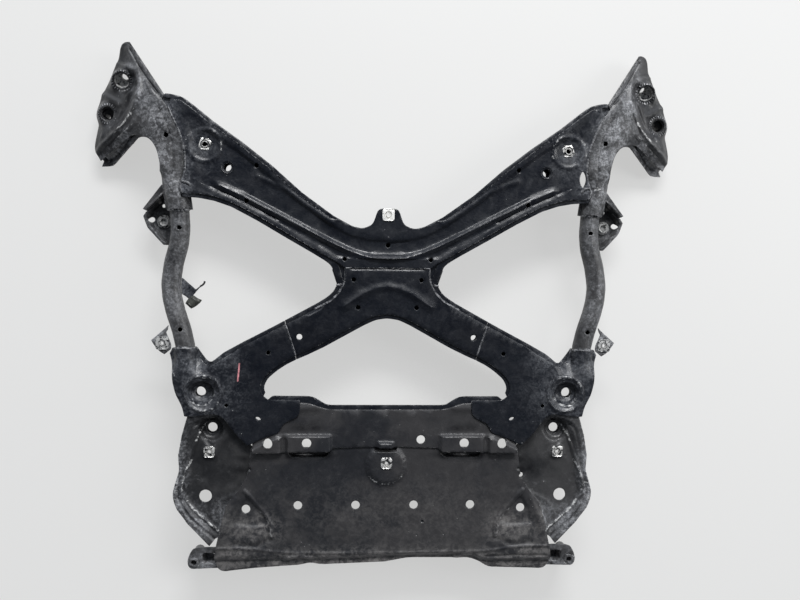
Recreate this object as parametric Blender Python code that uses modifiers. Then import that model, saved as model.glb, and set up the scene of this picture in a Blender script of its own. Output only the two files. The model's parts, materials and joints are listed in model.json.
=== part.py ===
"""Front subframe of a car: a cradle of pressed sheet steel, tubes and brackets, welded into one.

It lies on its back, with the face that looks at the road turned up. +X is to the right, +Y runs
towards the two horns and +Z is up. Plan sizes below are in millimetres, measured from the middle
of the X; every mesh is made in metres, with the origin under the middle of the whole part.
"""
import math

import bmesh
import bpy
import numpy as np
from mathutils import Vector
from mathutils.geometry import delaunay_2d_cdt

MM = 0.001

# Sheet, clearance and the levels of the layers, all in millimetres
SHEET = 2.5
GAP = 0.3
FACE = 85.0
TUBE_RADIUS = 17.5
TUBE_WALL = 2.5
SLEEVE_CLEARANCE = 1.0
EDGE_STEP = 6.0
CORNER_STEP = 7.0
FLANGE = 8.0
CHANNEL_FLANGE = 12.0
RECESS_FLANGE = 14.5
CHANNEL_WALL = 9.0
ARC_STEP = math.radians(16.0)

STEP = SHEET + GAP
BACKING = FACE - STEP
COVER = BACKING - STEP
SHELF = COVER - STEP
SLEEVE_RADIUS = TUBE_RADIUS + SLEEVE_CLEARANCE + SHEET
TUBE_LEVEL = BACKING - SLEEVE_RADIUS
CHANNEL_DEPTH = BACKING - (TUBE_LEVEL - TUBE_RADIUS - SLEEVE_CLEARANCE)

# Reach of the whole part, which sets its origin
HORN_TIP = 442.5
PANEL_END = -483.5
MIDDLE = (HORN_TIP + PANEL_END) / 2

# Round features
SMALL_HOLE = 4.0
CUP_DEPTH = 18.0
CUP_HOLE = 9.0
INNER_CUP_RADIUS = 22.0
INNER_CUP_DEPTH = 11.0
COLLAR_BORE = 16.0
COLLAR_RADIUS = 20.0
REAR_MOUNT_LEVEL = 40.0
REAR_INNER_LEVEL = 36.0
PANEL_HOLE = 7.5
WING_HOLE = 11.0
HORN_HOLE = 12.0
HORN_COLLAR = 13.8
HORN_FLOOR = 13.0
CLIP_SIZE = 18.0
CLIP_SHEET = 1.2
CLIP_BORE = 3.4
CLIP_BARREL = 5.6
EYE_RADIUS = 9.5
EYE_BORE = 5.0
EYE_PROUD = 1.0
EYE_CLEARANCE = 0.4
FOOT_DROP = 7.0
EYE_PLATE = COVER - FOOT_DROP - SHEET - EYE_CLEARANCE
EYE_HEIGHT = EYE_PLATE + EYE_PROUD
BRACKET_LEVEL = 70.0
HARNESS_LEVEL = 65.0
WING_LEVEL = 71.2
ARM_PLATE_LEVEL = 30.0
ARM_TOP_LEVEL = 61.5
ARM_LIP = 14.0
OPEN_END = 76.5

# Places, right-hand side
CUP = (324.8, -164.7)
CUP_CENTRE = (318.5, -165.0)
INNER_CUP = (305.5, -229.6)
HORN_UPPER_BOLT = (463.5, 374.0)
HORN_LOWER_BOLT = (490.0, 318.0)
BEAM_CLIP = (316.0, 264.0)
WING_CLIP = (309.0, -270.0)
COVER_CLIP = (1.5, -288.0)
TAB_CLIP = (0.0, 148.5)
BRACKET_CLIP = (390.5, -79.5)
EYE = (336.0, -468.5)
ARM_NUT = (394.3, 132.2)
EDGE_HOLE = (243.8, -312.5)

BLACK = (0.018, 0.019, 0.022, 1.0)
GREY = (0.060, 0.062, 0.065, 1.0)
ZINC = (0.55, 0.55, 0.52, 1.0)
PLASTIC = (0.045, 0.046, 0.042, 1.0)


def rad_between(a, b):
    """The turn from direction a to direction b."""
    size = math.hypot(*a) * math.hypot(*b)
    if size == 0.0:
        return 0.0
    return math.acos(max(-1.0, min(1.0, (a[0] * b[0] + a[1] * b[1]) / size)))


def smooth(*points):
    """A smooth open run through the given points, with few points where it is straight."""
    first = tuple(2 * a - b for a, b in zip(points[0], points[1]))
    last = tuple(2 * a - b for a, b in zip(points[-1], points[-2]))
    knots = [first, *points, last]
    run = [points[0]]
    for index in range(1, len(knots) - 2):
        p0, p1, p2, p3 = knots[index - 1:index + 3]
        way = (p2[0] - p1[0], p2[1] - p1[1])
        turn = rad_between((p1[0] - p0[0], p1[1] - p0[1]), way)
        turn += rad_between(way, (p3[0] - p2[0], p3[1] - p2[1]))
        pieces = max(1, math.ceil(turn / 2 / ARC_STEP))
        for piece in range(1, pieces + 1):
            t = piece / pieces
            run.append(tuple(
                0.5 * (2 * b + (c - a) * t + (2 * a - 5 * b + 4 * c - d) * t * t
                       + (3 * b - a - 3 * c + d) * t * t * t)
                for a, b, c, d in zip(p0, p1, p2, p3)))
    return run


def circle(centre, radius, sides=16, stretch=1.0, turn=0.0):
    """A round loop, or an oval one."""
    loop = []
    for index in range(sides):
        angle = 2 * math.pi * index / sides
        x = radius * stretch * math.cos(angle)
        y = radius * math.sin(angle)
        loop.append((centre[0] + x * math.cos(turn) - y * math.sin(turn),
                     centre[1] + x * math.sin(turn) + y * math.cos(turn)))
    return loop


def mirrored(run):
    """The same run on the other side, in reverse order."""
    return [(-x, y) for x, y in reversed(run)]


def both_sides(run):
    """A closed loop from its right half, which starts and ends on the middle line."""
    return run + mirrored(run)


def tidy(loop, least=0.4):
    """The loop without points that lie on each other."""
    kept = []
    for point in loop:
        if not kept or math.dist(point, kept[-1]) > least:
            kept.append(point)
    if math.dist(kept[0], kept[-1]) <= least:
        kept.pop()
    return kept


def distances(points, loop, closed=True):
    """How far each point lies from the nearest side of a loop or run."""
    ends = np.asarray(loop)
    starts = np.roll(ends, 1, axis=0) if closed else ends[:-1]
    ends = ends if closed else ends[1:]
    along = ends - starts
    length = np.maximum((along ** 2).sum(axis=1), 1e-9)
    offset = points[:, None, :] - starts[None, :, :]
    share = np.clip((offset * along[None]).sum(axis=2) / length, 0.0, 1.0)
    near = starts[None] + share[:, :, None] * along[None]
    return np.sqrt(((points[:, None, :] - near) ** 2).sum(axis=2)).min(axis=1)


def inside(points, loop):
    """Which points lie within a loop."""
    ends = np.asarray(loop)
    starts = np.roll(ends, 1, axis=0)
    x, y = points[:, 0:1], points[:, 1:2]
    spans = (starts[:, 1] > y) != (ends[:, 1] > y)
    rise = ends[:, 1] - starts[:, 1]
    rise = np.where(np.abs(rise) < 1e-12, 1e-12, rise)
    cross = starts[:, 0] + (y - starts[:, 1]) * (ends[:, 0] - starts[:, 0]) / rise
    return ((spans & (x < cross)).sum(axis=1) % 2) == 1


def beside(run, distance, closed=False):
    """A run moved to its left by a distance; points that would fold over are left out."""
    points = np.asarray(run, dtype=float)
    if closed:
        before = np.roll(points, 1, axis=0)
        after = np.roll(points, -1, axis=0)
    else:
        before = np.vstack([2 * points[0] - points[1], points[:-1]])
        after = np.vstack([points[1:], 2 * points[-1] - points[-2]])
    one = points - before
    two = after - points
    one /= np.maximum(np.linalg.norm(one, axis=1), 1e-9)[:, None]
    two /= np.maximum(np.linalg.norm(two, axis=1), 1e-9)[:, None]
    left_one = np.stack([-one[:, 1], one[:, 0]], axis=1)
    left_two = np.stack([-two[:, 1], two[:, 0]], axis=1)
    middle = left_one + left_two
    middle /= np.maximum(np.linalg.norm(middle, axis=1), 1e-9)[:, None]
    share = np.maximum((middle * left_one).sum(axis=1), 0.4)
    moved = points + middle * (distance / share)[:, None]
    clear = distances(moved, run, closed) > abs(distance) * 0.96
    return [tuple(point) for point, good in zip(moved.tolist(), clear) if good]


def area(loop):
    """Twice the signed area of a loop."""
    return sum(a[0] * b[1] - b[0] * a[1] for a, b in zip(loop, loop[1:] + loop[:1]))


def inset(loop, distance):
    """A closed loop moved inwards by a distance."""
    side = 1.0 if area(loop) > 0 else -1.0
    return tidy(beside(loop, distance * side, closed=True), 0.8)


def band(run, half_width):
    """A closed loop with the given half width along a run."""
    return tidy(beside(run, half_width) + list(reversed(beside(run, -half_width))), 0.8)


def part_of(run, low=-1e9, high=1e9, axis=0):
    """The points of a run whose x or y lies between two limits."""
    return [point for point in run if low <= point[axis] <= high]


class Press:
    """One pressing: inside its loop the sheet is raised, or sunk where the height is negative."""

    def __init__(self, loop, wall, height):
        self.loop = tidy(loop)
        self.wall = wall
        self.height = height

    def loops(self):
        """The top and the foot of the pressing's wall."""
        return [self.loop, inset(self.loop, self.wall)]

    def lift(self, points):
        """How much it raises the sheet at each point."""
        far = distances(points, self.loop)
        share = np.clip(far / self.wall, 0.0, 1.0)
        return self.height * np.where(inside(points, self.loop), share, 0.0)


def heights(points, level, presses, base=None):
    """The height of a sheet's upper face at each point."""
    total = np.full(len(points), float(level))
    if base is not None:
        total = base(points)
    for press in presses:
        total = total + press.lift(points)
    return total


def collection(name):
    """The collection of that name, made if it is missing."""
    found = bpy.data.collections.get(name)
    if found is None:
        found = bpy.data.collections.new(name)
        bpy.context.scene.collection.children.link(found)
    return found


def paint(name, colour, roughness, metallic):
    """A plain finish for one sub-part."""
    material = bpy.data.materials.new(name)
    material.use_nodes = True
    shader = material.node_tree.nodes["Principled BSDF"]
    shader.inputs["Base Color"].default_value = colour
    shader.inputs["Roughness"].default_value = roughness
    shader.inputs["Metallic"].default_value = metallic
    return material


def finish(part, colour=BLACK, roughness=0.45, metallic=0.3):
    """Put a finished sub-part into the subframe's collection with its own material."""
    for holder in list(part.users_collection):
        holder.objects.unlink(part)
    collection("subframe").objects.link(part)
    part.data.materials.clear()
    part.data.materials.append(paint(part.name + "_finish", colour, roughness, metallic))
    return part


def mesh_object(name, shape):
    """An object made of a bmesh."""
    mesh = bpy.data.meshes.new(name)
    shape.to_mesh(mesh)
    shape.free()
    part = bpy.data.objects.new(name, mesh)
    bpy.context.scene.collection.objects.link(part)
    return part


def place(x, y, z=0.0):
    """A plan position in millimetres as a point of the part's own frame in metres."""
    return Vector((x * MM, (y - MIDDLE) * MM, z * MM))


def sheet(name, rim, level, presses=(), holes=(), base=None, guides=(), grid=0.0, side=1,
          colour=BLACK, roughness=0.45):
    """A pressed sheet: an outline with holes and pressings, thickened away from the viewer."""
    rim = tidy(rim)
    loops = [rim] + [loop for press in presses for loop in press.loops()] + [tidy(h) for h in holes]
    points = []
    edges = []
    for loop in loops:
        if len(loop) < 3:
            continue
        start = len(points)
        points.extend(loop)
        edges.extend((start + i, start + (i + 1) % len(loop)) for i in range(len(loop)))
    for run in guides:
        start = len(points)
        points.extend(run)
        edges.extend((start + i, start + i + 1) for i in range(len(run) - 1))
    if grid:
        low = np.min(rim, axis=0)
        high = np.max(rim, axis=0)
        across = np.arange(low[0] + grid / 2, high[0], grid)
        along = np.arange(low[1] + grid / 2, high[1], grid)
        mesh_points = np.array([(x, y) for x in across for y in along])
        room = np.minimum.reduce([distances(mesh_points, loop) for loop in loops if len(loop) > 2])
        points.extend(map(tuple, mesh_points[room > grid * 0.45].tolist()))
    found, _, faces, _, _, _ = delaunay_2d_cdt([Vector(p) for p in points], edges, [], 0, 0.05)
    plan = np.array([(p.x, p.y) for p in found])
    middles = np.array([plan[list(face)].mean(axis=0) for face in faces])
    wanted = inside(middles, rim)
    for hole in holes:
        wanted &= ~inside(middles, hole)
    lift = heights(plan, level, presses, base)
    shape = bmesh.new()
    corners = [shape.verts.new(place(x * side, y, z)) for (x, y), z in zip(plan.tolist(), lift)]
    for face, keep in zip(faces, wanted):
        if keep:
            shape.faces.new([corners[i] for i in face])
    bmesh.ops.delete(shape, geom=[v for v in shape.verts if not v.link_faces], context="VERTS")
    for face in shape.faces:
        face.normal_update()
        if face.normal.z < 0:
            face.normal_flip()
    part = mesh_object(name, shape)
    thicken = part.modifiers.new("Sheet thickness", "SOLIDIFY")
    thicken.thickness = SHEET * MM
    thicken.offset = -1.0
    thicken.use_even_offset = True
    thicken.use_quality_normals = True
    return finish(part, colour, roughness)


def turned(name, profile, centre, sides=20, tilt=None, colour=GREY, metallic=0.6):
    """A ring or sleeve turned round an upright axis from a closed profile of (radius, height)."""
    shape = bmesh.new()
    rings = []
    for index in range(sides):
        angle = 2 * math.pi * index / sides
        rings.append([shape.verts.new((r * MM * math.cos(angle), r * MM * math.sin(angle), z * MM))
                      for r, z in profile])
    count = len(profile)
    for index in range(sides):
        one, two = rings[index], rings[(index + 1) % sides]
        for k in range(count):
            shape.faces.new([one[k], two[k], two[(k + 1) % count], one[(k + 1) % count]])
    bmesh.ops.recalc_face_normals(shape, faces=shape.faces)
    part = mesh_object(name, shape)
    part.location = place(*centre)
    if tilt is not None:
        part.rotation_euler = tilt
    return finish(part, colour, 0.4, metallic)


def sleeve(name, centre, bottom, top, radius, bore, sides=20):
    """A plain spacer sleeve that stands on its bottom height."""
    chamfer = min(1.0, (radius - bore) / 4)
    profile = [(bore, bottom), (radius - chamfer, bottom), (radius, bottom + chamfer),
               (radius, top - chamfer), (radius - chamfer, top), (bore, top)]
    return turned(name, profile, (centre[0], centre[1], 0.0), sides)


def prism(name, loop, low, high):
    """A straight block with the given outline."""
    shape = bmesh.new()
    base = [shape.verts.new(place(x, y, low)) for x, y in loop]
    face = shape.faces.new(base)
    grown = bmesh.ops.extrude_face_region(shape, geom=[face])
    lifted = [item for item in grown["geom"] if isinstance(item, bmesh.types.BMVert)]
    bmesh.ops.translate(shape, verts=lifted, vec=(0.0, 0.0, (high - low) * MM))
    bmesh.ops.recalc_face_normals(shape, faces=shape.faces)
    return mesh_object(name, shape)


def combine(part, tool, operation):
    """Cut a tool out of a part, or join it on, with a modifier; the tool stays as a guide."""
    for holder in list(tool.users_collection):
        holder.objects.unlink(tool)
    collection("cutters").objects.link(tool)
    tool.hide_render = True
    tool.display_type = "WIRE"
    change = part.modifiers.new(operation.title(), "BOOLEAN")
    change.operation = operation
    change.solver = "EXACT"
    change.object = tool
    return part


# Edges in plan, right-hand side. Each runs clockwise, so the part lies on its right.
TAB_EDGE = [(0.0, 158.6)] + smooth(
    (11.0, 158.6), (17.0, 156.3), (20.5, 150.0), (25.0, 137.0), (31.0, 129.0), (46.0, 124.2))
TOP_EDGE = smooth(
    (46.0, 124.2), (62.0, 127.5), (95.0, 145.0), (150.0, 184.5), (200.0, 228.5), (250.0, 267.0),
    (300.0, 302.0), (335.0, 330.0), (353.0, 342.5), (374.0, 347.6))
SEAM = smooth(
    (378.0, 325.0), (370.0, 308.0), (360.0, 286.0), (352.5, 262.0), (349.5, 240.0),
    (350.0, 220.0), (355.0, 200.0))
BOTTOM_EDGE = smooth(
    (354.0, 174.0), (325.0, 172.0), (300.0, 167.5), (270.0, 157.5), (225.0, 134.0),
    (175.0, 105.0), (130.0, 79.5), (110.0, 67.5), (101.0, 61.0), (95.5, 52.0), (92.0, 40.0),
    (88.4, 26.2))
ARM_TOP = smooth(
    (88.6, 24.4), (94.0, 14.5), (103.0, 5.5), (120.0, -5.5), (150.0, -22.0), (200.0, -49.3),
    (250.0, -75.5), (280.0, -92.0))
ARM_BOTTOM = smooth(
    (205.0, -168.8), (211.0, -163.5), (213.0, -156.0), (211.0, -147.0), (204.0, -136.5),
    (190.0, -124.5), (175.0, -114.5), (157.0, -105.5), (140.0, -98.0), (110.0, -83.5),
    (75.0, -64.0), (40.0, -44.5), (20.0, -35.5), (0.0, -32.5))
CORNER_NOTCH = smooth(
    (283.0, -94.0), (299.0, -107.0), (308.5, -111.0), (317.0, -106.0), (323.0, -97.0))
OUTER_REAR = [
    (378.0, -97.0), (376.0, -104.0), (374.0, -112.0), (372.8, -118.0), (372.0, -124.0),
    (371.5, -130.0), (370.8, -138.0)] + smooth(
    (370.0, -145.0), (369.0, -151.0), (365.0, -166.0), (354.0, -188.0), (350.0, -205.0))
TUBE_AXIS = smooth(
    (351.0, -104.0), (351.5, -87.0), (358.5, -56.0), (368.5, -25.5), (374.5, 0.0),
    (376.5, 25.0), (371.5, 60.5), (362.5, 93.0), (360.0, 120.0), (362.0, 151.0), (368.0, 195.0))
SOCKET_AXIS = [(350.6, -138.0), (350.7, -130.0), (350.8, -122.0), (350.9, -114.0), (351.0, -106.0),
               (351.4, -90.0)]
NECK_AXIS = [(362.4, 154.5), (365.3, 176.0), (368.0, 197.0), (370.3, 212.0), (372.0, 226.0)]
SLEEVE_AXIS = ([(350.4, -155.0)] + SOCKET_AXIS + part_of(TUBE_AXIS, -85.0, 150.0, axis=1)
               + NECK_AXIS + [(374.0, 242.0)])
RIDGE = smooth(
    (0.0, 72.5), (30.0, 74.0), (60.0, 81.0), (100.0, 99.0), (150.0, 125.0), (250.0, 176.0),
    (300.0, 198.0))
WING_EDGE = smooth(
    (343.0, -198.2), (350.0, -222.0), (355.0, -240.0), (361.0, -275.0), (359.5, -302.0),
    (368.0, -330.0), (370.0, -347.0), (363.0, -370.0), (344.0, -398.0), (308.0, -437.0))
COVER_SIDE = smooth(
    (236.0, -262.5), (241.0, -305.0), (259.0, -339.0), (278.0, -362.0), (289.0, -402.0),
    (297.5, -442.0), (299.5, -464.0), (292.0, -480.0), (283.0, -483.5))
COVER_FOOT = smooth(
    (283.0, -483.5), (240.0, -482.0), (190.0, -480.0), (172.0, -470.0), (152.0, -462.5)) + smooth(
    (60.0, -461.5), (40.0, -462.0), (0.0, -469.0), (-20.0, -469.5), (-110.0, -472.5),
    (-130.0, -469.0), (-150.0, -473.0), (-230.0, -478.0), (-283.0, -483.5))
HORN_NECK = smooth(
    (444.0, 278.5), (431.0, 278.0), (418.0, 275.0), (406.0, 267.5), (396.5, 251.0),
    (391.5, 230.0), (390.5, 206.0))
HORN_OUTSIDE = smooth(
    (449.0, 435.5), (459.0, 439.5), (468.5, 432.0), (473.0, 414.0), (481.5, 398.4),
    (490.5, 375.6), (504.0, 350.0), (513.0, 319.0), (509.0, 300.0), (514.5, 270.0),
    (516.0, 256.0), (504.5, 237.0))


TRAY_SLOT = circle((223.0, -209.0), 2.6, 12, 1.9, math.radians(25.0))


def at_height(run, y):
    """The x at which an upright run passes a given y."""
    ordered = sorted(run, key=lambda point: point[1])
    return float(np.interp(y, [p[1] for p in ordered], [p[0] for p in ordered]))


def ease(values, start, end):
    """A smooth change from 0 at start to 1 at end."""
    t = np.clip((values - start) / (end - start), 0.0, 1.0)
    return t * t * (3 - 2 * t)


def steepness(surface, points):
    """How much longer a sloping surface is than its plan, at each point."""
    nudge = 0.5
    across = surface(points + [nudge, 0.0]) - surface(points - [nudge, 0.0])
    along = surface(points + [0.0, nudge]) - surface(points - [0.0, nudge])
    return np.minimum(np.sqrt(1 + (across / nudge / 2) ** 2 + (along / nudge / 2) ** 2), 3.0)


# The sleeve that both ends of a side tube are held in: half of it in each shell
CLEAR = TUBE_RADIUS + SLEEVE_CLEARANCE
SLEEVE_SIDE = SLEEVE_RADIUS * 0.95
SLEEVE_HALF = SLEEVE_RADIUS + 0.4
SIDE_FLANGE = TUBE_LEVEL + math.sqrt(SLEEVE_RADIUS ** 2 - SLEEVE_SIDE ** 2)
SOCKET_MOUTH = -87.5
SOCKET_END = -106.0
SOCKET_FADE = -138.0
NECK_MOUTH = 152.5
NECK_END = 198.0
NECK_FADE = 226.0
UPPER_SHARES = (8.0, 14.5, SLEEVE_SIDE)
LOWER_SHARES = (0.4 * CLEAR, 0.72 * CLEAR, 0.94 * CLEAR, CLEAR + GAP)
BOTH_SHARES = (8.0, 14.0, 0.94 * CLEAR, SLEEVE_SIDE)


def over_tube(points):
    """The upper face of a sheet that hugs the side tube from above, with flat side flanges."""
    far = np.minimum(distances(points, SLEEVE_AXIS, closed=False), SLEEVE_SIDE)
    return TUBE_LEVEL + np.sqrt(SLEEVE_RADIUS ** 2 - far ** 2)


def under_tube(points):
    """The upper face of a sheet that hugs the side tube from below."""
    far = distances(points, SLEEVE_AXIS, closed=False)
    steps = [0.0, *LOWER_SHARES]
    drops = [-math.sqrt(CLEAR ** 2 - s ** 2) for s in steps[:-1]]
    return TUBE_LEVEL + np.interp(far, steps, drops + [SIDE_FLANGE - STEP - TUBE_LEVEL])


def along_tube(axis, shares):
    """Lines along a sleeve's axis and at given distances on both sides of it."""
    runs = [axis]
    for share in shares:
        runs.append(beside(axis, share))
        runs.append(beside(axis, -share))
    return runs


def die(heights_at):
    """A smooth surface through a few heights, as a thin plate bends through its supports."""
    known = np.array(heights_at, dtype=float)
    places = known[:, :2]
    gaps = np.linalg.norm(places[:, None] - places[None], axis=2)
    bend = np.where(gaps > 0, gaps ** 2 * np.log(np.maximum(gaps, 1e-9)), 0.0)
    count = len(known)
    flat = np.hstack([np.ones((count, 1)), places])
    system = np.block([[bend, flat], [flat.T, np.zeros((3, 3))]])
    weights = np.linalg.solve(system, np.concatenate([known[:, 2], np.zeros(3)]))

    def surface(points):
        away = np.linalg.norm(points[:, None] - places[None], axis=2)
        rise = np.where(away > 0, away ** 2 * np.log(np.maximum(away, 1e-9)), 0.0)
        return rise @ weights[:count] + weights[count] + points @ weights[count + 1:]

    return surface


# How far the horn's front shell falls behind the face, at places all over it
HORN_FALLS = (
    (350, 230, 0), (353, 262, 0), (362, 290, 0), (378, 326, 0), (388, 350, 4), (415, 388, 19),
    (449, 434, 38), (462, 438, 44), (400, 325, 1), (405, 295, 2), (420, 345, 8), (432, 305, 8),
    (445, 380, 31), (480, 368, 46), (470, 345, 42), (470, 318, 38), (450, 315, 24),
    (505, 348, 62), (512, 318, 64), (508, 300, 60), (491, 374, 60), (473, 412, 56),
    (448, 300, 18), (475, 282, 29), (500, 267, 43), (515, 258, 62), (450, 284, 25),
    (475, 263, 38), (498, 247, 52), (504, 238, 54), (431, 279, 14), (406, 268, 5),
    (393, 240, 3), (389, 215, 4))
HORN_DIE = die([(x, y, FACE - fall) for x, y, fall in HORN_FALLS])
PAD_RADIUS = 16.5
PAD_FADE = 26.0
PAD_HEIGHTS = (FACE - 39.0, FACE - 46.0)
PAD_SLOPES = ((0.15, 0.35), (0.0, 0.0))


def horn_face(points):
    """The upper face of the horn's camera-side shell."""
    total = HORN_DIE(points)
    for centre, height, slope in zip((HORN_UPPER_BOLT, HORN_LOWER_BOLT), PAD_HEIGHTS, PAD_SLOPES):
        from_bolt = points - np.array(centre)
        pad = height + from_bolt @ np.array(slope)
        share = ease(np.linalg.norm(from_bolt, axis=1), PAD_FADE, PAD_RADIUS)
        total = total * (1 - share) + pad * share
    hug = ease(points[:, 1], NECK_FADE, NECK_END)
    return total * (1 - hug) + over_tube(points) * hug


def horn_back(points):
    """The upper face of the horn's back shell: a flange under the front shell, then a deep pan."""
    hug = ease(points[:, 1], NECK_FADE, NECK_END)
    room = SHEET + 5 * GAP + 8.0 * hug * (1 - hug)
    under = horn_face(points) - room * steepness(horn_face, points)
    from_edge = distances(points, part_of(HORN_OUTSIDE, 236.0, 416.0, axis=1), closed=False)
    pan = np.maximum(under + HORN_PAN.lift(points), HORN_FLOOR)
    pan = np.minimum(pan, HORN_FLOOR + 6.0 * np.maximum(from_edge - 18.0, 0.0))
    total = pan * (1 - hug) + under_tube(points) * hug
    return np.where(hug < 1, np.minimum(total, under), total)


def across_tube(y, shares):
    """Points from left to right across a sleeve, at one height in plan."""
    middle = at_height(SLEEVE_AXIS, y)
    steps = [-share for share in reversed(shares)] + [0.0, *shares]
    return [(middle + step, y) for step in steps]


NECK_LEFT = [(338.5, NECK_MOUTH), (341.0, 172.0), (345.5, 194.0), (355.8, 198.5)]
NECK_RIGHT = [(390.5, 199.0), (388.0, 178.0), (384.6, NECK_MOUTH)]
SEAM_SIDE = [(x + 1.2, y) if y < 262.0 else (x + GAP, y) for x, y in reversed(SEAM)]
HORN_RIM = (NECK_LEFT + SEAM_SIDE + [(388.0, 338.5), (384.5, 345.0)] + HORN_OUTSIDE + HORN_NECK
            + NECK_RIGHT + list(reversed(across_tube(NECK_MOUTH, UPPER_SHARES))))
HORN_BACK_RIM = (
    NECK_LEFT + SEAM_SIDE
    + [(388.0, 338.5), (384.8, 347.5), (451.0, 441.5), (460.0, HORN_TIP), (467.5, 438.0)]
    + part_of(beside(HORN_OUTSIDE, -1.5), 236.0, 428.0, axis=1)
    + [(507.0, 229.0), (487.0, 230.0), (431.0, 275.5)] + part_of(HORN_NECK, high=430.0)
    + NECK_RIGHT + list(reversed(across_tube(NECK_MOUTH, LOWER_SHARES))))
HORN_PAN = Press(part_of(inset(HORN_BACK_RIM, FLANGE), 205.0, 500.0, axis=1), 14.0, -60.0)
HORN_GUIDES = along_tube(NECK_AXIS, BOTH_SHARES) + [
    ring + ring[:1] for ring in HORN_PAN.loops() + [
        circle(bolt, radius, 14)
        for bolt in (HORN_UPPER_BOLT, HORN_LOWER_BOLT) for radius in (PAD_RADIUS, PAD_FADE)]]


def front_beam():
    """The V-shaped closing plate with its tab, and the channel behind it."""
    hollow = both_sides(
        [(0.0, 109.0), (36.0, 109.0)] + part_of(beside(TOP_EDGE, -CHANNEL_FLANGE), 62.0, 358.0)
        + part_of(beside(SEAM, -CHANNEL_FLANGE), 262.0, 315.0, axis=1)
        + [(334.0, 240.0), (330.0, 214.0), (326.0, 196.0)]
        + part_of(beside(BOTTOM_EDGE, -CHANNEL_FLANGE), 84.0, 322.0)
        + [(OPEN_END, 30.0), (OPEN_END, 5.0), (0.0, 5.0)])
    sunk = part_of(inset(hollow, RECESS_FLANGE - CHANNEL_FLANGE), 65.0, axis=1)
    plate = (TAB_EDGE + [(62.0, 127.5), (84.0, 138.3)]
             + part_of(beside(TOP_EDGE, -EDGE_STEP), 92.0, 367.0)
             + [(370.0, 337.0)] + SEAM + [(356.0, 191.0), (355.0, 181.0), (350.0, 179.0)]
             + part_of(beside(BOTTOM_EDGE, -CORNER_STEP), 112.0, 346.0)
             + [(100.0, 71.0), (84.0, 62.0), (75.0, 55.3), (0.0, 55.3)])
    clips = [BEAM_CLIP, (-BEAM_CLIP[0], BEAM_CLIP[1])]
    bosses = [(277.0, 225.0), (-277.0, 225.0)]
    presses = [Press(sunk, 5.0, -4.0),
               Press(band(mirrored(RIDGE)[:-1] + RIDGE, 8.0), 7.0, 7.0)]
    presses += [Press(circle(clip, 20.0, 16), 4.0, -2.5) for clip in clips]
    for boss in bosses:
        presses.append(Press(circle(boss, 15.0), 3.5, 5.0))
        presses.append(Press(circle(boss, 10.0), 3.0, -4.0))
    small = [(227.5, 229.0), (244.5, 168.5), (75.0, 70.5)]
    holes = [circle((side * x, y), SMALL_HOLE, 10) for x, y in small for side in (1, -1)]
    holes += [circle((0.0, 95.0), SMALL_HOLE, 10), circle(TAB_CLIP, CLIP_BARREL + 1, 12)]
    holes += [circle(boss, 6.5) for boss in bosses]
    holes += [circle(clip, CLIP_BARREL + 1.0, 12) for clip in clips]
    gap = circle((341.5, 215.0), 14.0, 14, 0.4)
    sheet("front_beam_lower", both_sides(plate), FACE, presses, holes + [gap])

    channel = ([(0.0, 121.0), (32.0, 121.0)] + part_of(TOP_EDGE, 47.0)
               + [(382.5, 347.8), (384.5, 341.0), (373.0, 340.0)] + SEAM + BOTTOM_EDGE
               + [(0.0, 26.2)])
    through = [circle(boss, 8.0) for boss in bosses]
    deep = Press(hollow, CHANNEL_WALL, -CHANNEL_DEPTH)
    sheet("front_beam_upper", both_sides(channel), BACKING, [deep], through + [gap])


def centre_plate():
    """The plate that makes the lower half of the X, and the channel behind it."""
    joint = [(176.5, -44.0), (158.3, -98.3)]
    plate = ([(0.0, 61.0), (58.0, 61.0), (58.0, 54.9)]
             + smooth((74.6, 54.9), (73.5, 44.0), (76.0, 30.0), (83.0, 15.5), (93.0, 3.5),
                      (104.0, -5.0))
             + part_of(beside(ARM_TOP, -CORNER_STEP), 108.0, 174.0) + joint
             + part_of(beside(ARM_BOTTOM, -CORNER_STEP), 0.0, 156.0))
    tongue = [(-66.0, 80.0), (66.0, 80.0), (66.0, 50.5), (-66.0, 50.5)]
    arch = smooth((-84.0, -18.0), (-45.0, 10.0), (0.0, 24.0), (45.0, 10.0), (84.0, -18.0))
    valley = [(98.0, -12.0), (112.0, -19.0), (120.0, -66.0), (102.0, -58.0)]
    presses = [Press(tongue, 3.5, -STEP), Press(band(arch, 9.0), 8.0, 4.0),
               Press(valley, 7.0, -3.0), Press(mirrored(valley), 7.0, -3.0)]
    small = [(59.0, 35.0), (51.0, -13.5)]
    holes = [circle((side * x, y), SMALL_HOLE, 10) for x, y in small for side in (1, -1)]
    holes += [circle((side * 152.5, -65.5), SMALL_HOLE + 1.0, 12) for side in (1, -1)]
    sheet("centre_plate_lower", both_sides(plate), FACE, presses, holes)

    channel = ([(0.0, 24.4)] + part_of(ARM_TOP, 88.0, 176.0) + [(178.0, -37.3), (157.3, -105.3)]
               + part_of(ARM_BOTTOM, 0.0, 156.0))
    hollow = ([(0.0, 50.0), (OPEN_END, 50.0), (OPEN_END, 28.0)]
              + part_of(beside(ARM_TOP, -CHANNEL_FLANGE), 80.0, 200.0)
              + [(205.0, -72.0), (184.0, -104.0)]
              + part_of(beside(ARM_BOTTOM, -CHANNEL_FLANGE), 0.0, 170.0))
    through = [circle((side * 154.0, -65.5), 9.0, 12) for side in (1, -1)]
    deep = Press(both_sides(hollow), CHANNEL_WALL, -CHANNEL_DEPTH)
    sheet("centre_plate_upper", both_sides(channel), BACKING, [deep], through)


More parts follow.
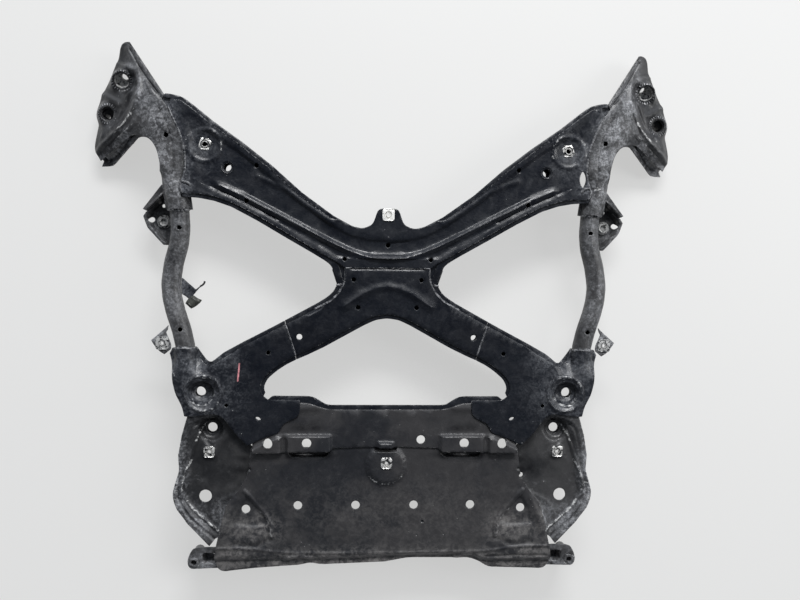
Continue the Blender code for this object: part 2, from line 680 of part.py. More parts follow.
MOUTH_LEFT = [(at_height(SLEEVE_AXIS, SOCKET_MOUTH) - SLEEVE_HALF, SOCKET_MOUTH)]
MOUTH_RIGHT = [(at_height(SLEEVE_AXIS, SOCKET_MOUTH) + SLEEVE_HALF, SOCKET_MOUTH)]
SOCKET_GUIDES = along_tube(SOCKET_AXIS, BOTH_SHARES) + [
    [(324.0, -100.0), (322.0, -112.0), (321.0, -124.0), (321.0, -138.0)],
    [(373.5, -100.0), (370.5, -112.0), (368.0, -124.0), (366.5, -138.0)]]
CUP_RING = circle(CUP_CENTRE, 27.0, 24, 31.0 / 27.0)
CUP_WELL = circle((CUP_CENTRE[0] + 3.0, CUP_CENTRE[1]), 21.0, 24, 24.0 / 21.0)
CORNER_PRESSES = (Press(CUP_RING, 6.0, -5.0), Press(CUP_WELL, 7.0, 5.0 - CUP_DEPTH))
CORNER_HOLLOW = (
    [(150.0, -40.0)] + part_of(beside(ARM_TOP, -CHANNEL_FLANGE), 150.0, 275.0)
    + part_of(beside(CORNER_NOTCH, -CHANNEL_FLANGE), 285.0, 322.0)
    + [(334.0, -118.0), (352.0, -120.0)]
    + part_of(beside(OUTER_REAR, -6.5), -184.0, -130.0, axis=1)
    + [(342.0, -193.6), (259.0, -193.6), (245.0, -181.0), (236.0, -160.0)]
    + part_of(beside(ARM_BOTTOM, -CHANNEL_FLANGE), -150.0, -96.0, axis=1) + [(140.0, -85.0)])
CORNER_DEEP = Press(CORNER_HOLLOW, CHANNEL_WALL, -CHANNEL_DEPTH)
MOUNT_SEAT = FACE - CUP_DEPTH - STEP
SEAT_RADIUS = 24.0


def socket_hug(points):
    """How fully the sheets of a rear corner are wrapped round the tube, from 0 to 1."""
    return ease(points[:, 1], SOCKET_FADE, SOCKET_END) * ease(points[:, 0], 300.0, 322.0)


def corner_face(points):
    """The camera-side face of a rear corner: flat, and wrapped round the tube at its socket."""
    hug = socket_hug(points)
    return FACE * (1 - hug) + over_tube(points) * hug


def corner_back(points):
    """The channel of a rear corner, with a raised seat under the cup and half a tube socket."""
    far = np.linalg.norm(points - np.array(CUP), axis=1)
    seat = MOUNT_SEAT - 2.8 * np.maximum(far - SEAT_RADIUS, 0.0)
    total = np.maximum(BACKING + CORNER_DEEP.lift(points), seat)
    total -= 0.8 * ease(points[:, 1], -160.0, -141.0) * ease(points[:, 0], 330.0, 345.0)
    hug = socket_hug(points)
    room = SHEET + 4 * GAP + 12.0 * hug * (1 - hug)
    under = corner_face(points) - room * steepness(corner_face, points)
    total = total * (1 - hug) + under_tube(points) * hug
    return np.where((hug > 0) & (hug < 1), np.minimum(total, under), total)


def rear_corner(side, name):
    """One rear corner: plate with the body-mount cup and the tube's socket, and its channel."""
    plate = ([(176.9, -44.2)] + part_of(beside(ARM_TOP, -EDGE_STEP), 182.0, 274.0)
             + part_of(beside(CORNER_NOTCH, -EDGE_STEP), 284.0, 325.0)
             + MOUTH_LEFT + across_tube(SOCKET_MOUTH, UPPER_SHARES) + MOUTH_RIGHT + OUTER_REAR
             + smooth((344.0, -206.0), (330.0, -205.0), (308.0, -201.5), (290.0, -203.5),
                      (276.0, -217.0), (262.0, -236.0), (242.0, -256.0))
             + smooth((234.0, -254.0), (218.0, -245.0), (189.0, -235.0), (180.0, -219.5),
                      (157.0, -207.0), (151.0, -196.0))
             + [(150.5, -176.0), (206.0, -175.5)]
             + part_of(beside(ARM_BOTTOM, -EDGE_STEP), 163.0, 222.0) + [(158.7, -98.6)])
    holes = [circle(CUP, CUP_HOLE, 18), circle((278.0, -186.0), SMALL_HOLE - 0.8, 10),
             circle((206.0, -93.5), SMALL_HOLE - 0.3, 10), TRAY_SLOT]
    sheet("rear_corner_lower_" + name, plate, FACE, CORNER_PRESSES, holes, side=side,
          guides=SOCKET_GUIDES, base=corner_face)

    channel = ([(178.4, -37.6)] + part_of(ARM_TOP, 182.0, 279.0) + CORNER_NOTCH
               + MOUTH_LEFT + across_tube(SOCKET_MOUTH, LOWER_SHARES) + MOUTH_RIGHT
               + part_of(beside(OUTER_REAR, -1.6), -195.0, -90.0, axis=1)
               + [(350.5, -196.5), (252.0, -196.5), (236.0, -186.0), (215.0, -172.0)]
               + part_of(ARM_BOTTOM, -165.0, -106.0, axis=1) + [(157.7, -105.6)])
    rings = CORNER_DEEP.loops() + [circle(CUP, SEAT_RADIUS, 20), circle(CUP, SEAT_RADIUS + 7.4, 20)]
    sheet("rear_corner_upper_" + name, channel, BACKING, holes=[circle(CUP, CUP_HOLE + 2.0, 18)],
          side=side, base=corner_back,
          guides=SOCKET_GUIDES + [ring + ring[:1] for ring in rings])
    sleeve("rear_mount_collar_" + name, (side * CUP[0], CUP[1]), REAR_MOUNT_LEVEL,
           MOUNT_SEAT - STEP - GAP, COLLAR_RADIUS, COLLAR_BORE)


def rear_tray():
    """The cross plate with its hoods and holes, and the channel behind its upper edge."""
    top = [(0.0, -193.0), (100.0, -193.0)] + smooth(
        (100.0, -193.0), (112.0, -190.5), (124.0, -186.0), (136.0, -182.5), (150.0, -181.5))
    rim = both_sides(top + [(226.0, -181.5), (240.0, -204.0), (234.0, -232.0), (233.0, -270.0),
                            (172.0, -269.5), (168.0, -267.5), (100.0, -267.5), (92.0, -262.0),
                            (20.0, -259.5), (13.0, -261.0), (0.0, -261.0)])
    hood = [(97.0, -236.0), (173.0, -236.0), (176.0, -242.0), (176.0, -290.0), (94.0, -290.0),
            (94.0, -240.0)]
    centre_hood = [(-15.0, -249.0), (15.0, -249.0), (15.0, -280.0), (-15.0, -280.0)]
    ridge = [(181.0, -241.0), (192.0, -240.0), (217.0, -250.0), (234.0, -259.0), (246.0, -263.0),
             (246.0, -290.0), (181.0, -290.0)]
    presses = [Press(centre_hood, 5.0, 7.0)]
    for shape in (hood, ridge):
        presses.append(Press(shape, 5.0, 7.0))
        presses.append(Press(mirrored(shape), 5.0, 7.0))
    spots = [(138.5, -251.5), (206.0, -252.5)]
    holes = [circle((side * x, y), PANEL_HOLE + 0.7, 16) for x, y in spots for side in (1, -1)]
    holes += [circle((62.0, -246.5), PANEL_HOLE, 16), TRAY_SLOT, mirrored(TRAY_SLOT)]
    sheet("rear_tray", rim, BACKING, presses, holes)

    edge = [(0.0, -185.7), (100.0, -185.7)] + smooth(
        (100.0, -185.7), (108.0, -183.5), (118.0, -177.0), (127.0, -171.8), (138.0, -170.0))
    back = edge + [(199.0, -169.8), (206.0, -176.0), (208.0, -234.0), (0.0, -234.0)]
    hollow = [(0.0, -200.0), (104.0, -200.0), (140.0, -186.0), (190.0, -186.0), (196.0, -222.0),
              (0.0, -222.0)]
    through = [circle((side * x, -209.0), 5.0, 12) for x in (60.0, 150.0) for side in (1, -1)]
    sheet("rear_channel", both_sides(back), COVER, [Press(both_sides(hollow), 8.0, -24.0)],
          through)


def rear_cover():
    """The large lower panel, with its row of holes, round boss, side embosses and folded foot."""
    top = [(0.0, -255.0), (88.0, -255.0), (94.0, -262.5), (236.0, -262.5)]
    rim = mirrored(top) + top[1:] + COVER_SIDE[1:-1] + COVER_FOOT + mirrored(COVER_SIDE[1:-1])
    pocket = [(98.0, -250.0), (172.0, -250.0), (172.0, -271.0), (166.0, -278.5), (105.0, -278.5),
              (98.0, -271.0)]
    middle = [(-20.0, -245.0), (20.0, -245.0), (20.0, -268.5), (-20.0, -268.5)]
    emboss = smooth((247.0, -348.0), (236.0, -346.0), (222.0, -358.0), (205.0, -384.0),
                    (212.0, -402.0), (262.0, -401.0), (268.0, -392.0), (260.0, -369.0))
    foot = [(-310.0, -458.0), (-60.0, -456.0), (20.0, -452.0), (160.0, -450.0), (184.0, -462.0),
            (310.0, -462.0), (310.0, -500.0), (-310.0, -500.0)]
    presses = [Press(pocket, 3.0, -9.0), Press(mirrored(pocket), 3.0, -9.0),
               Press(middle, 3.0, -9.0), Press(circle((1.0, -292.0), 38.0, 24), 9.0, 6.0),
               Press(emboss, 5.0, -3.5), Press(mirrored(emboss), 5.0, -3.5),
               Press(foot, 7.0, -FOOT_DROP)]
    spots = [(-244.5, -371.0), (-153.5, -364.0), (-52.0, -364.0), (51.0, -364.0),
             (152.0, -364.0), (243.5, -371.0)]
    holes = [circle(spot, PANEL_HOLE, 16) for spot in spots]
    holes += [circle((67.0, -394.0), SMALL_HOLE - 1.2, 10), circle(EDGE_HOLE, 4.5, 10),
              circle(COVER_CLIP, CLIP_BARREL + 1.0, 12)]
    sheet("rear_cover_panel", rim, COVER, presses, holes, colour=GREY, roughness=0.6)


WING_SUNK = Press(
    [(262.0, -212.0), (287.0, -197.0), (318.0, -208.0)]
    + smooth((334.0, -216.0), (345.0, -250.0), (350.0, -285.0), (351.0, -312.0),
             (358.0, -338.0), (354.0, -360.0), (330.0, -394.0), (304.0, -422.0))
    + [(285.0, -455.0), (250.0, -430.0), (225.0, -370.0), (205.0, -300.0), (206.0, -262.0)],
    10.0, 1.0)
WING_SEAT = Press(
    [(308.0, -455.0), (303.0, -418.0), (291.0, -392.0), (283.0, -366.0), (266.0, -346.0),
     (252.0, -334.0), (225.0, -334.0), (225.0, -400.0), (260.0, -455.0)], 5.0, 1.0)


def wing_face(points):
    """The upper face of a wing: a rim that falls towards its tip, a sunk floor, a cover seat."""
    rim = BACKING - 2 * STEP * ease(points[:, 1], -372.0, -408.0)
    total = rim + (WING_LEVEL - rim) * WING_SUNK.lift(points)
    return total + (SHELF - total) * WING_SEAT.lift(points)


def rear_wing(side, name):
    """One dished wing with its wavy rim, second cup, clip seat and large hole."""
    inner = [(298.0, -424.0), (283.0, -416.0), (276.0, -396.0), (266.0, -372.0), (250.0, -350.0),
             (234.0, -326.0), (231.0, -300.0), (229.0, -268.0), (238.0, -256.0),
             (244.0, -238.0), (266.0, -210.0), (268.0, -198.2)]
    rings = WING_SUNK.loops() + WING_SEAT.loops()
    presses = [Press(circle(INNER_CUP, INNER_CUP_RADIUS, 20), 6.0, -INNER_CUP_DEPTH),
               Press(circle(WING_CLIP, 16.0, 16), 4.0, 2.0)]
    holes = [circle(INNER_CUP, COLLAR_BORE - 6.0, 16), circle((315.5, -348.5), WING_HOLE, 18),
             circle(WING_CLIP, CLIP_BARREL + 1.0, 12)]
    if side > 0:
        holes.append(circle(EDGE_HOLE, 4.5, 10))
    sheet("rear_wing_" + name, WING_EDGE + inner, BACKING, presses, holes, side=side, colour=GREY,
          base=wing_face, guides=[ring + ring[:1] for ring in rings])
    sleeve("rear_inner_collar_" + name, (side * INNER_CUP[0], INNER_CUP[1]), REAR_INNER_LEVEL,
           WING_LEVEL - INNER_CUP_DEPTH - STEP, COLLAR_RADIUS - 1.0, COLLAR_BORE - 1.0)


def side_tube(side, name):
    """One bent tube, hollow, with a drain hole near each end."""
    line = bpy.data.curves.new("side_tube_path", "CURVE")
    line.dimensions = "3D"
    line.bevel_depth = TUBE_RADIUS * MM
    line.bevel_resolution = 4
    spline = line.splines.new("POLY")
    spline.points.add(len(TUBE_AXIS) - 1)
    for point, (x, y) in zip(spline.points, TUBE_AXIS):
        point.co = (*place(side * x, y, TUBE_LEVEL), 1.0)
    guide = bpy.data.objects.new("side_tube_guide", line)
    bpy.context.scene.collection.objects.link(guide)
    seen = guide.evaluated_get(bpy.context.evaluated_depsgraph_get())
    mesh = bpy.data.meshes.new_from_object(seen)
    bpy.data.objects.remove(guide)
    tube = bpy.data.objects.new("side_tube_" + name, mesh)
    bpy.context.scene.collection.objects.link(tube)
    wall = tube.modifiers.new("Wall", "SOLIDIFY")
    wall.thickness = TUBE_WALL * MM
    wall.offset = -1.0
    for index, y in enumerate((121.0, -55.0)):
        drill = circle((side * (at_height(TUBE_AXIS, y) - 0.5), y), SMALL_HOLE, 10)
        tool = prism(f"tube_drill_{name}_{index}", drill, TUBE_LEVEL + 4.0, FACE + 10.0)
        combine(tube, tool, "DIFFERENCE")
    finish(tube, GREY, 0.5)


def horn(side, name):
    """One horn: two pressed shells round the tube's end, with a bolt sleeve between them."""
    bolts = (HORN_UPPER_BOLT, HORN_LOWER_BOLT)
    holes = [circle(bolt, HORN_HOLE, 16) for bolt in bolts] + [circle((380.5, 278.0), 4.4, 10)]
    sheet("horn_lower_" + name, HORN_RIM, FACE, holes=holes, base=horn_face, side=side,
          guides=HORN_GUIDES, grid=19.0, colour=GREY)

    axis = Vector((PAD_SLOPES[0][0], PAD_SLOPES[0][1], -1.0)).normalized()
    reach = (PAD_HEIGHTS[0] - HORN_FLOOR) / -axis.z
    far = (HORN_UPPER_BOLT[0] + axis.x * reach, HORN_UPPER_BOLT[1] + axis.y * reach)
    holes = [circle(far, 10.0, 16), circle(HORN_LOWER_BOLT, HORN_COLLAR + 0.6, 18)]
    sheet("horn_upper_" + name, HORN_BACK_RIM, FACE, holes=holes, base=horn_back, side=side,
          guides=HORN_GUIDES, grid=19.0, colour=GREY)

    top = -(SHEET + GAP)
    end = 6.5 - reach
    profile = [(HORN_HOLE, end), (HORN_COLLAR, end), (HORN_COLLAR, top), (HORN_HOLE, top)]
    lean = Vector((-side * axis.x, -axis.y, -axis.z)).to_track_quat("Z", "Y").to_euler()
    turned("horn_collar_upper_" + name, profile,
           (side * HORN_UPPER_BOLT[0], HORN_UPPER_BOLT[1], PAD_HEIGHTS[0]), 18, lean)
    sleeve("horn_collar_lower_" + name, (side * HORN_LOWER_BOLT[0], HORN_LOWER_BOLT[1]),
           0.0, PAD_HEIGHTS[1] - STEP, HORN_COLLAR, HORN_HOLE - 2.0, 18)


def plug(name, outline, centre, top, barrel_end, colour=ZINC, metallic=0.7):
    """A clip nut: a flat plate on the sheet with a threaded barrel that passes through it."""
    loops = (outline, circle(centre, CLIP_BARREL, 12), circle(centre, CLIP_BORE, 12))
    points = []
    spans = []
    for loop in loops:
        start = len(points)
        points.extend(loop)
        spans.append([(start + i, start + (i + 1) % len(loop)) for i in range(len(loop))])
    edges = [edge for span in spans for edge in span]
    faces = delaunay_2d_cdt([Vector(p) for p in points], edges, [], 0, 0.01)[2]
    plan = np.array(points)
    shape = bmesh.new()
    upper, under, ends = [
        [shape.verts.new(place(x, y, z)) for x, y in points]
        for z in (top, top - CLIP_SHEET, barrel_end)]
    for face in faces:
        middle = plan[list(face)].mean(axis=0)[None]
        if not inside(middle, loops[0])[0] or inside(middle, loops[2])[0]:
            continue
        below = ends if inside(middle, loops[1])[0] else under
        shape.faces.new([upper[i] for i in face])
        shape.faces.new([below[i] for i in reversed(face)])
    for span, high, low in ((spans[0], upper, under), (spans[1], under, ends),
                            (spans[2], upper, ends)):
        for i, k in span:
            shape.faces.new([high[i], high[k], low[k], low[i]])
    bmesh.ops.delete(shape, geom=[v for v in shape.verts if not v.link_faces], context="VERTS")
    bmesh.ops.recalc_face_normals(shape, faces=shape.faces)
    return finish(mesh_object(name, shape), colour, 0.35, metallic)


def square(centre, size, turn, cut=2.5):
    """A square outline with cut corners, turned by an angle in degrees."""
    half = size / 2
    corners = [(-half + cut, -half), (half - cut, -half), (half, -half + cut), (half, half - cut),
               (half - cut, half), (-half + cut, half), (-half, half - cut), (-half, -half + cut)]
    c, s = math.cos(math.radians(turn)), math.sin(math.radians(turn))
    return [(centre[0] + x * c - y * s, centre[1] + x * s + y * c) for x, y in corners]


def clips():
    """The clip nuts of the tab, the beam, the wings and the cover."""
    seat = FACE - 4.0 - 2.5 + GAP + CLIP_SHEET
    tab = [(-9.5, 139.0), (9.5, 139.0), (10.5, 150.0), (8.0, 157.0), (-8.0, 157.0), (-10.5, 150.0)]
    plug("tab_clip_nut", tab, TAB_CLIP, FACE + GAP + CLIP_SHEET, FACE - 11.0)
    plug("cover_clip_nut", square(COVER_CLIP, CLIP_SIZE, 8.0), COVER_CLIP,
         COVER + 6.0 + GAP + CLIP_SHEET, COVER - 6.0)
    for side, name in ((1, "right"), (-1, "left")):
        spot = (side * BEAM_CLIP[0], BEAM_CLIP[1])
        plug("beam_clip_nut_" + name, square(spot, CLIP_SIZE, side * 30.0), spot, seat,
             seat - 14.0)
        spot = (side * WING_CLIP[0], WING_CLIP[1])
        plug("wing_clip_nut_" + name, square(spot, CLIP_SIZE, side * 6.0), spot,
             WING_LEVEL + 2.0 + GAP + CLIP_SHEET, WING_LEVEL - 11.0)


def arm_bracket(side, name):
    """The folded bracket under the horn's neck, with its weld nut."""
    rim = [(369.0, 98.0), (380.0, 91.5), (392.8, 91.0), (402.0, 100.5), (421.0, 121.5),
           (428.0, 141.0), (425.5, 147.0), (421.0, 150.0), (429.0, 153.6), (396.0, 197.0),
           (386.0, 190.0), (370.0, 172.0)]
    floor = [(350.0, 80.0), (385.0, 85.0), (388.0, 95.0), (392.0, 96.0), (399.0, 104.0),
             (416.0, 124.0), (423.0, 141.0), (418.0, 148.0), (405.0, 163.0), (392.0, 180.0),
             (350.0, 205.0)]

    def lip(points):
        return ARM_PLATE_LEVEL + ARM_LIP + 10.5 * ease(points[:, 0], 381.5, 371.0)

    bracket = sheet("arm_bracket_" + name, rim, 0.0, [Press(floor, 4.0, -ARM_LIP)],
                    [circle((418.0 - 3.0, 135.5), 4.6, 12), circle((395.0, 160.0), 3.2, 10),
                     circle(ARM_NUT, 6.0, 14)], base=lip, side=side, colour=GREY,
                    guides=[[(x, 80.0), (x, 200.0)] for x in (381.5, 376.0, 371.0)])
    fold = [(388.5, 180.5), (391.0, 182.5), (422.0, 152.8), (419.5, 150.6)]
    tool = prism("arm_fold_" + name, [(side * x, y) for x, y in fold], ARM_PLATE_LEVEL - 1.2,
                 ARM_TOP_LEVEL)
    combine(bracket, tool, "UNION")
    low = ARM_PLATE_LEVEL + GAP
    profile = [(5.0, low), (12.0, low), (12.0, low + 2.5), (8.0, low + 4.5), (8.0, low + 11.0),
               (7.0, low + 12.0), (5.0, low + 12.0)]
    turned("arm_nut_" + name, profile, (side * ARM_NUT[0], ARM_NUT[1], 0.0), 16)


def undertray_bracket(side, name):
    """The small plate on a strip beside the tube, with its clip nut."""
    rim = [(379.3, -47.5), (384.5, -53.0), (400.0, -66.5), (409.3, -74.5), (406.3, -80.0),
           (396.0, -93.0), (386.5, -99.0), (375.5, -90.0), (374.5, -82.0), (378.8, -72.5),
           (383.5, -60.5), (381.5, -55.5), (379.3, -53.0)]
    sheet("undertray_bracket_" + name, rim, BRACKET_LEVEL, holes=[
        circle(BRACKET_CLIP, CLIP_BARREL + 1.0, 12)], side=side, colour=GREY)
    spot = (side * BRACKET_CLIP[0], BRACKET_CLIP[1])
    plug("undertray_clip_nut_" + name, square(spot, CLIP_SIZE, -side * 40.0), spot,
         BRACKET_LEVEL + GAP + CLIP_SHEET, BRACKET_LEVEL - 9.0)


def harness_fittings():
    """The plate welded to the inner side of the left tube, and the plastic clip pushed on to it."""
    beside_tube = beside(TUBE_AXIS, TUBE_RADIUS + GAP)
    weld = [(at_height(beside_tube, y), y) for y in (5.8, 15.5, 25.0, 34.8)]
    rim = weld + [(333.5, 14.3), (326.0, 20.6), (324.8, 19.2), (332.2, 12.0), (333.4, 8.9),
                  (337.7, 4.5), (335.0, -1.0), (343.0, -8.5), (346.2, -0.7)]
    sheet("harness_bracket", rim, HARNESS_LEVEL, side=-1)
    clip = [(344.6, 0.3), (336.8, 4.0), (328.2, -2.4), (322.5, -3.8), (323.9, -7.4),
            (336.8, -17.7), (341.1, -19.2), (351.1, -9.9)]
    sheet("harness_clip", clip, HARNESS_LEVEL + GAP + SHEET, [Press(inset(clip, 1.0), 2.5, 5.0)],
          side=-1, colour=PLASTIC, roughness=0.5)


def rear_eye(side, name):
    """The pan-shaped bracket at a corner of the cover panel, and the eye that it holds."""
    rim = smooth((283.0, -441.0), (330.0, -441.5), (342.0, -451.0), (347.0, -468.0),
                 (342.0, -478.5), (330.0, -479.5), (283.0, -478.0))
    pan = [(270.0, -452.0), (318.0, -451.5), (321.5, -455.0), (321.0, -468.0), (317.0, -471.0),
           (270.0, -471.0)]
    sheet("rear_eye_bracket_" + name, rim, EYE_PLATE, [Press(pan, 3.0, -26.0)],
          [circle(EYE, EYE_RADIUS + GAP, 16), circle((303.5, -459.0), 3.5, 10)], side=side,
          colour=GREY)
    sleeve("rear_eye_" + name, (side * EYE[0], EYE[1]), 0.0, EYE_HEIGHT, EYE_RADIUS, EYE_BORE, 16)


def build():
    """Make every piece."""
    for item in list(bpy.data.objects):
        bpy.data.objects.remove(item)
    front_beam()
    centre_plate()
    rear_tray()
    rear_cover()
    clips()
    harness_fittings()
    for side, name in ((1, "right"), (-1, "left")):
        rear_corner(side, name)
        rear_wing(side, name)
        side_tube(side, name)
        horn(side, name)
        arm_bracket(side, name)
        undertray_bracket(side, name)
        rear_eye(side, name)


build()
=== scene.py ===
"""The looks of a used front subframe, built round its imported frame.

It lies on a pale floor with its road side up. Plan places are in millimetres as seen from
above, with the middle of the X near the origin; place() turns them into the frame's metres.
"""
import json
import math

import bmesh
import bpy
import numpy as np
from mathutils import Matrix, Vector, noise
from mathutils.bvhtree import BVHTree
from mathutils.kdtree import KDTree


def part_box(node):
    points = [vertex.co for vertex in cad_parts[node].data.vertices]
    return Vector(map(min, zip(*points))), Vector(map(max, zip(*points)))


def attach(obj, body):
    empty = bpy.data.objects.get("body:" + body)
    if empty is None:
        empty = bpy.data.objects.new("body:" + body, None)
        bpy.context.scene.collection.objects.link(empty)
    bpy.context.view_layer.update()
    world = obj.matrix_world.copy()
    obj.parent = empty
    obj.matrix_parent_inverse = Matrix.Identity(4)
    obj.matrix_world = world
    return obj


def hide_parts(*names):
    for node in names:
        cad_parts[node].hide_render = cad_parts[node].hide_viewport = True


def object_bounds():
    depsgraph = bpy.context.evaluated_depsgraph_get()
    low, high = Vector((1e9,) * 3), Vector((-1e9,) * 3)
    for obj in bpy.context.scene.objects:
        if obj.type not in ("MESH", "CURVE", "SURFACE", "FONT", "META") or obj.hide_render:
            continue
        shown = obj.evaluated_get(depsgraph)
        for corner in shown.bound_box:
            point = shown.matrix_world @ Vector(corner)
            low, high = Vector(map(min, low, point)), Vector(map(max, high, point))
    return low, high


MM = 0.001
# The plan's origin lies this far behind the frame's, and the X's plates stand at this height
PLAN_SHIFT = 20.5
FACE = 85.0
SIDES = ((1.0, "right"), (-1.0, "left"))

# Camera
CAMERA_FAR = 1.5
CAMERA_SIDE = -0.0218
CAMERA_TURNS = (3.0, 3.70, -0.534)
FOCAL_PIXELS = 860.0
PICTURE_WIDTH = 800.0
SENSOR = 36.0

# Fine copies of the pressings
FLAT_STEP = 12.0
CREASE_STEP = 2.6
CREASE_REACH = 5.0
RIM_STEP = 4.5
RIM_TURN = math.radians(42.0)
RIM_BEVEL = 0.55
CREASE_LEAST = math.radians(5.0)
RIM_LEAST = math.radians(62.0)
SPLIT_ROUNDS = 9
SPLIT_OVER = 1.35
STEP_GROWTH = 0.8
RELAX_PULL = 0.6
RIM_ROUNDS = 8
RIM_SHRINK = 0.50
RIM_SWELL = -0.53
FOLD_SAMPLE = 2.0
RUN_STEP = 4.0
SOFT_FROM = 120.0
WAVE = 0.35
WAVE_LENGTH = 75.0
SHEET_SHARP = 48.0
TURNED_SHARP = 40.0
BEAD_SHARP = 60.0
ROUND_SIDES = 40

# Colours, linear
DEEP_BLACK = (0.0024, 0.0036, 0.0070)
SOFT_BLACK = (0.0060, 0.0074, 0.0110)
# The dust colours also paint light on the horns' lower flanges, which the lamps leave dark.
GREY_DUST = (0.360, 0.374, 0.402)
# Painted shade: the near-black that darkens slots, pockets, hollows and concave folds.
SHADE_BLACK = (0.003, 0.003, 0.004)
GREY_DEEP = (0.0125, 0.0128, 0.0140)
GREY_SOFT = (0.040, 0.0395, 0.040)
TUBE_DUST = (0.370, 0.376, 0.392)
COVER_DEEP = (0.0145, 0.0155, 0.0185)
COVER_SOFT = (0.0330, 0.0322, 0.0335)
COVER_DUST = (0.200, 0.190, 0.182)
# Bare metal where paint is worn through; it also colours the painted highlights along rims,
# creases and arcs.
BARE_AND_HIGHLIGHT = (0.52, 0.52, 0.51)
ZINC = (0.80, 0.79, 0.76)
DARK_ZINC = (0.16, 0.155, 0.145)
PRESSED = (0.46, 0.465, 0.48)
OLD_ZINC = (0.44, 0.44, 0.43)
PLASTIC = (0.030, 0.031, 0.027)
WELD = (0.165, 0.166, 0.172)
PINK = (0.32, 0.13, 0.14)

# Stage
FLOOR_COLOUR = (0.22, 0.22, 0.217)
FLOOR_LIGHT = (1.0, 1.0, 0.99, 1.0)
FLOOR_GLOW = 0.54
FLOOR_SIZE = 9.0
FLOOR_GAP = 0.0002
ROOM_COLOUR = (0.88, 0.94, 1.04, 1.0)
ROOM_DIM = 0.10
ROOM_BRIGHT = 1.10
ROOM_EDGE = 0.75
# Lamps: place, target, size in metres and watts
KEY_LAMP = ((0.5, 3.5, 2.6), (0.0, 0.0, 0.0), (2.6, 0.9), 215.0)
FILL_LAMP = ((2.7, 0.6, 1.8), (0.1, 0.0, 0.0), (1.0, 2.0), 34.0)

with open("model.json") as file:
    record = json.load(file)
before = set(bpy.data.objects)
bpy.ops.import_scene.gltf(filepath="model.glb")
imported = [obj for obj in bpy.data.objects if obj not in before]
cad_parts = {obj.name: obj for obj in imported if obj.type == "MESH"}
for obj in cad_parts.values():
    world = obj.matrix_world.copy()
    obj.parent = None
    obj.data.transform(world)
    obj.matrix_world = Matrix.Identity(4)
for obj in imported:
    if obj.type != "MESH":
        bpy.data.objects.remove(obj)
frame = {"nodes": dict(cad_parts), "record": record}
cad_low, cad_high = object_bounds()
slots = {part["node"]: part["material_slot"] for part in frame["record"]["subparts"]}


def place(x, y, z):
    """A plan place in the frame's metres."""
    return Vector((x * MM, (y + PLAN_SHIFT) * MM, z * MM))


# Materials


class Paint:
    """Builds one material's nodes."""

    def __init__(self, name):
        self.material = bpy.data.materials.new(name)
        self.material.use_nodes = True
        self.nodes = self.material.node_tree.nodes
        self.links = self.material.node_tree.links
        self.shader = self.nodes["Principled BSDF"]
        self.where = self.nodes.new("ShaderNodeTexCoord").outputs["Object"]

    def put(self, socket, value):
        """Sets an input to a number, a colour or another node's output."""
        if isinstance(value, bpy.types.NodeSocket):
            self.links.new(value, socket)
        elif isinstance(value, tuple) and len(value) == 3 and socket.type == "RGBA":
            socket.default_value = (*value, 1.0)
        else:
            socket.default_value = value

    def noise(self, scale, detail=4.0, rough=0.55, stretch=None, warp=0.0):
        """Fractal noise in metres, 0 to 1."""
        node = self.nodes.new("ShaderNodeTexNoise")
        where = self.where
        if stretch:
            mapping = self.nodes.new("ShaderNodeMapping")
            self.put(mapping.inputs["Vector"], where)
            mapping.inputs["Scale"].default_value = stretch
            where = mapping.outputs[0]
        self.put(node.inputs["Vector"], where)
        node.inputs["Scale"].default_value = scale
        node.inputs["Detail"].default_value = detail
        node.inputs["Roughness"].default_value = rough
        node.inputs["Distortion"].default_value = warp
        return node.outputs["Fac"]

    def spots(self, scale, size):
        """Small round spots, 1 inside."""
        node = self.nodes.new("ShaderNodeTexVoronoi")
        self.put(node.inputs["Vector"], self.where)
        node.inputs["Scale"].default_value = scale
        return self.ramp(node.outputs["Distance"], size, size * 0.6)

    def ramp(self, value, low, high, to_low=0.0, to_high=1.0):
        """A smooth step from low to high."""
        node = self.nodes.new("ShaderNodeMapRange")
        node.interpolation_type = "SMOOTHSTEP"
        if high < low:
            low, high, to_low, to_high = high, low, to_high, to_low
        self.put(node.inputs["Value"], value)
        node.inputs["From Min"].default_value = low
        node.inputs["From Max"].default_value = high
        node.inputs["To Min"].default_value = to_low
        node.inputs["To Max"].default_value = to_high
        return node.outputs["Result"]

    def math(self, kind, a, b):
        """One sum, kept within 0 to 1."""
        node = self.nodes.new("ShaderNodeMath")
        node.operation = kind
        node.use_clamp = True
        self.put(node.inputs[0], a)
        self.put(node.inputs[1], b)
        return node.outputs[0]

    def mix(self, share, a, b):
        """One colour over another."""
        node = self.nodes.new("ShaderNodeMix")
        node.data_type = "RGBA"
        self.put(node.inputs[0], share)
        self.put(node.inputs[6], a)
        self.put(node.inputs[7], b)
        return node.outputs[2]

    def marks(self):
        """The wear and painted highlights, the dust and painted light, the painted shade and the
        scrapes that are painted on the mesh.
        """
        node = self.nodes.new("ShaderNodeAttribute")
        node.attribute_name = "marks"
        parts = self.nodes.new("ShaderNodeSeparateColor")
        self.put(parts.inputs[0], node.outputs["Color"])
        return (*parts.outputs[:3], node.outputs["Alpha"])

    def bump(self, height, distance, strength, under=None):
        """Roughens the surface's normal."""
        node = self.nodes.new("ShaderNodeBump")
        node.inputs["Strength"].default_value = strength
        node.inputs["Distance"].default_value = distance
        self.put(node.inputs["Height"], height)
        if under is not None:
            self.put(node.inputs["Normal"], under)
        return node.outputs[0]

    def done(self, colour, rough, metal=0.0, normal=None):
        """Joins the shader."""
        self.put(self.shader.inputs["Base Color"], colour)
        self.put(self.shader.inputs["Roughness"], rough)
        self.shader.inputs["Metallic"].default_value = metal
        if normal is not None:
            self.put(self.shader.inputs["Normal"], normal)
        return self.material


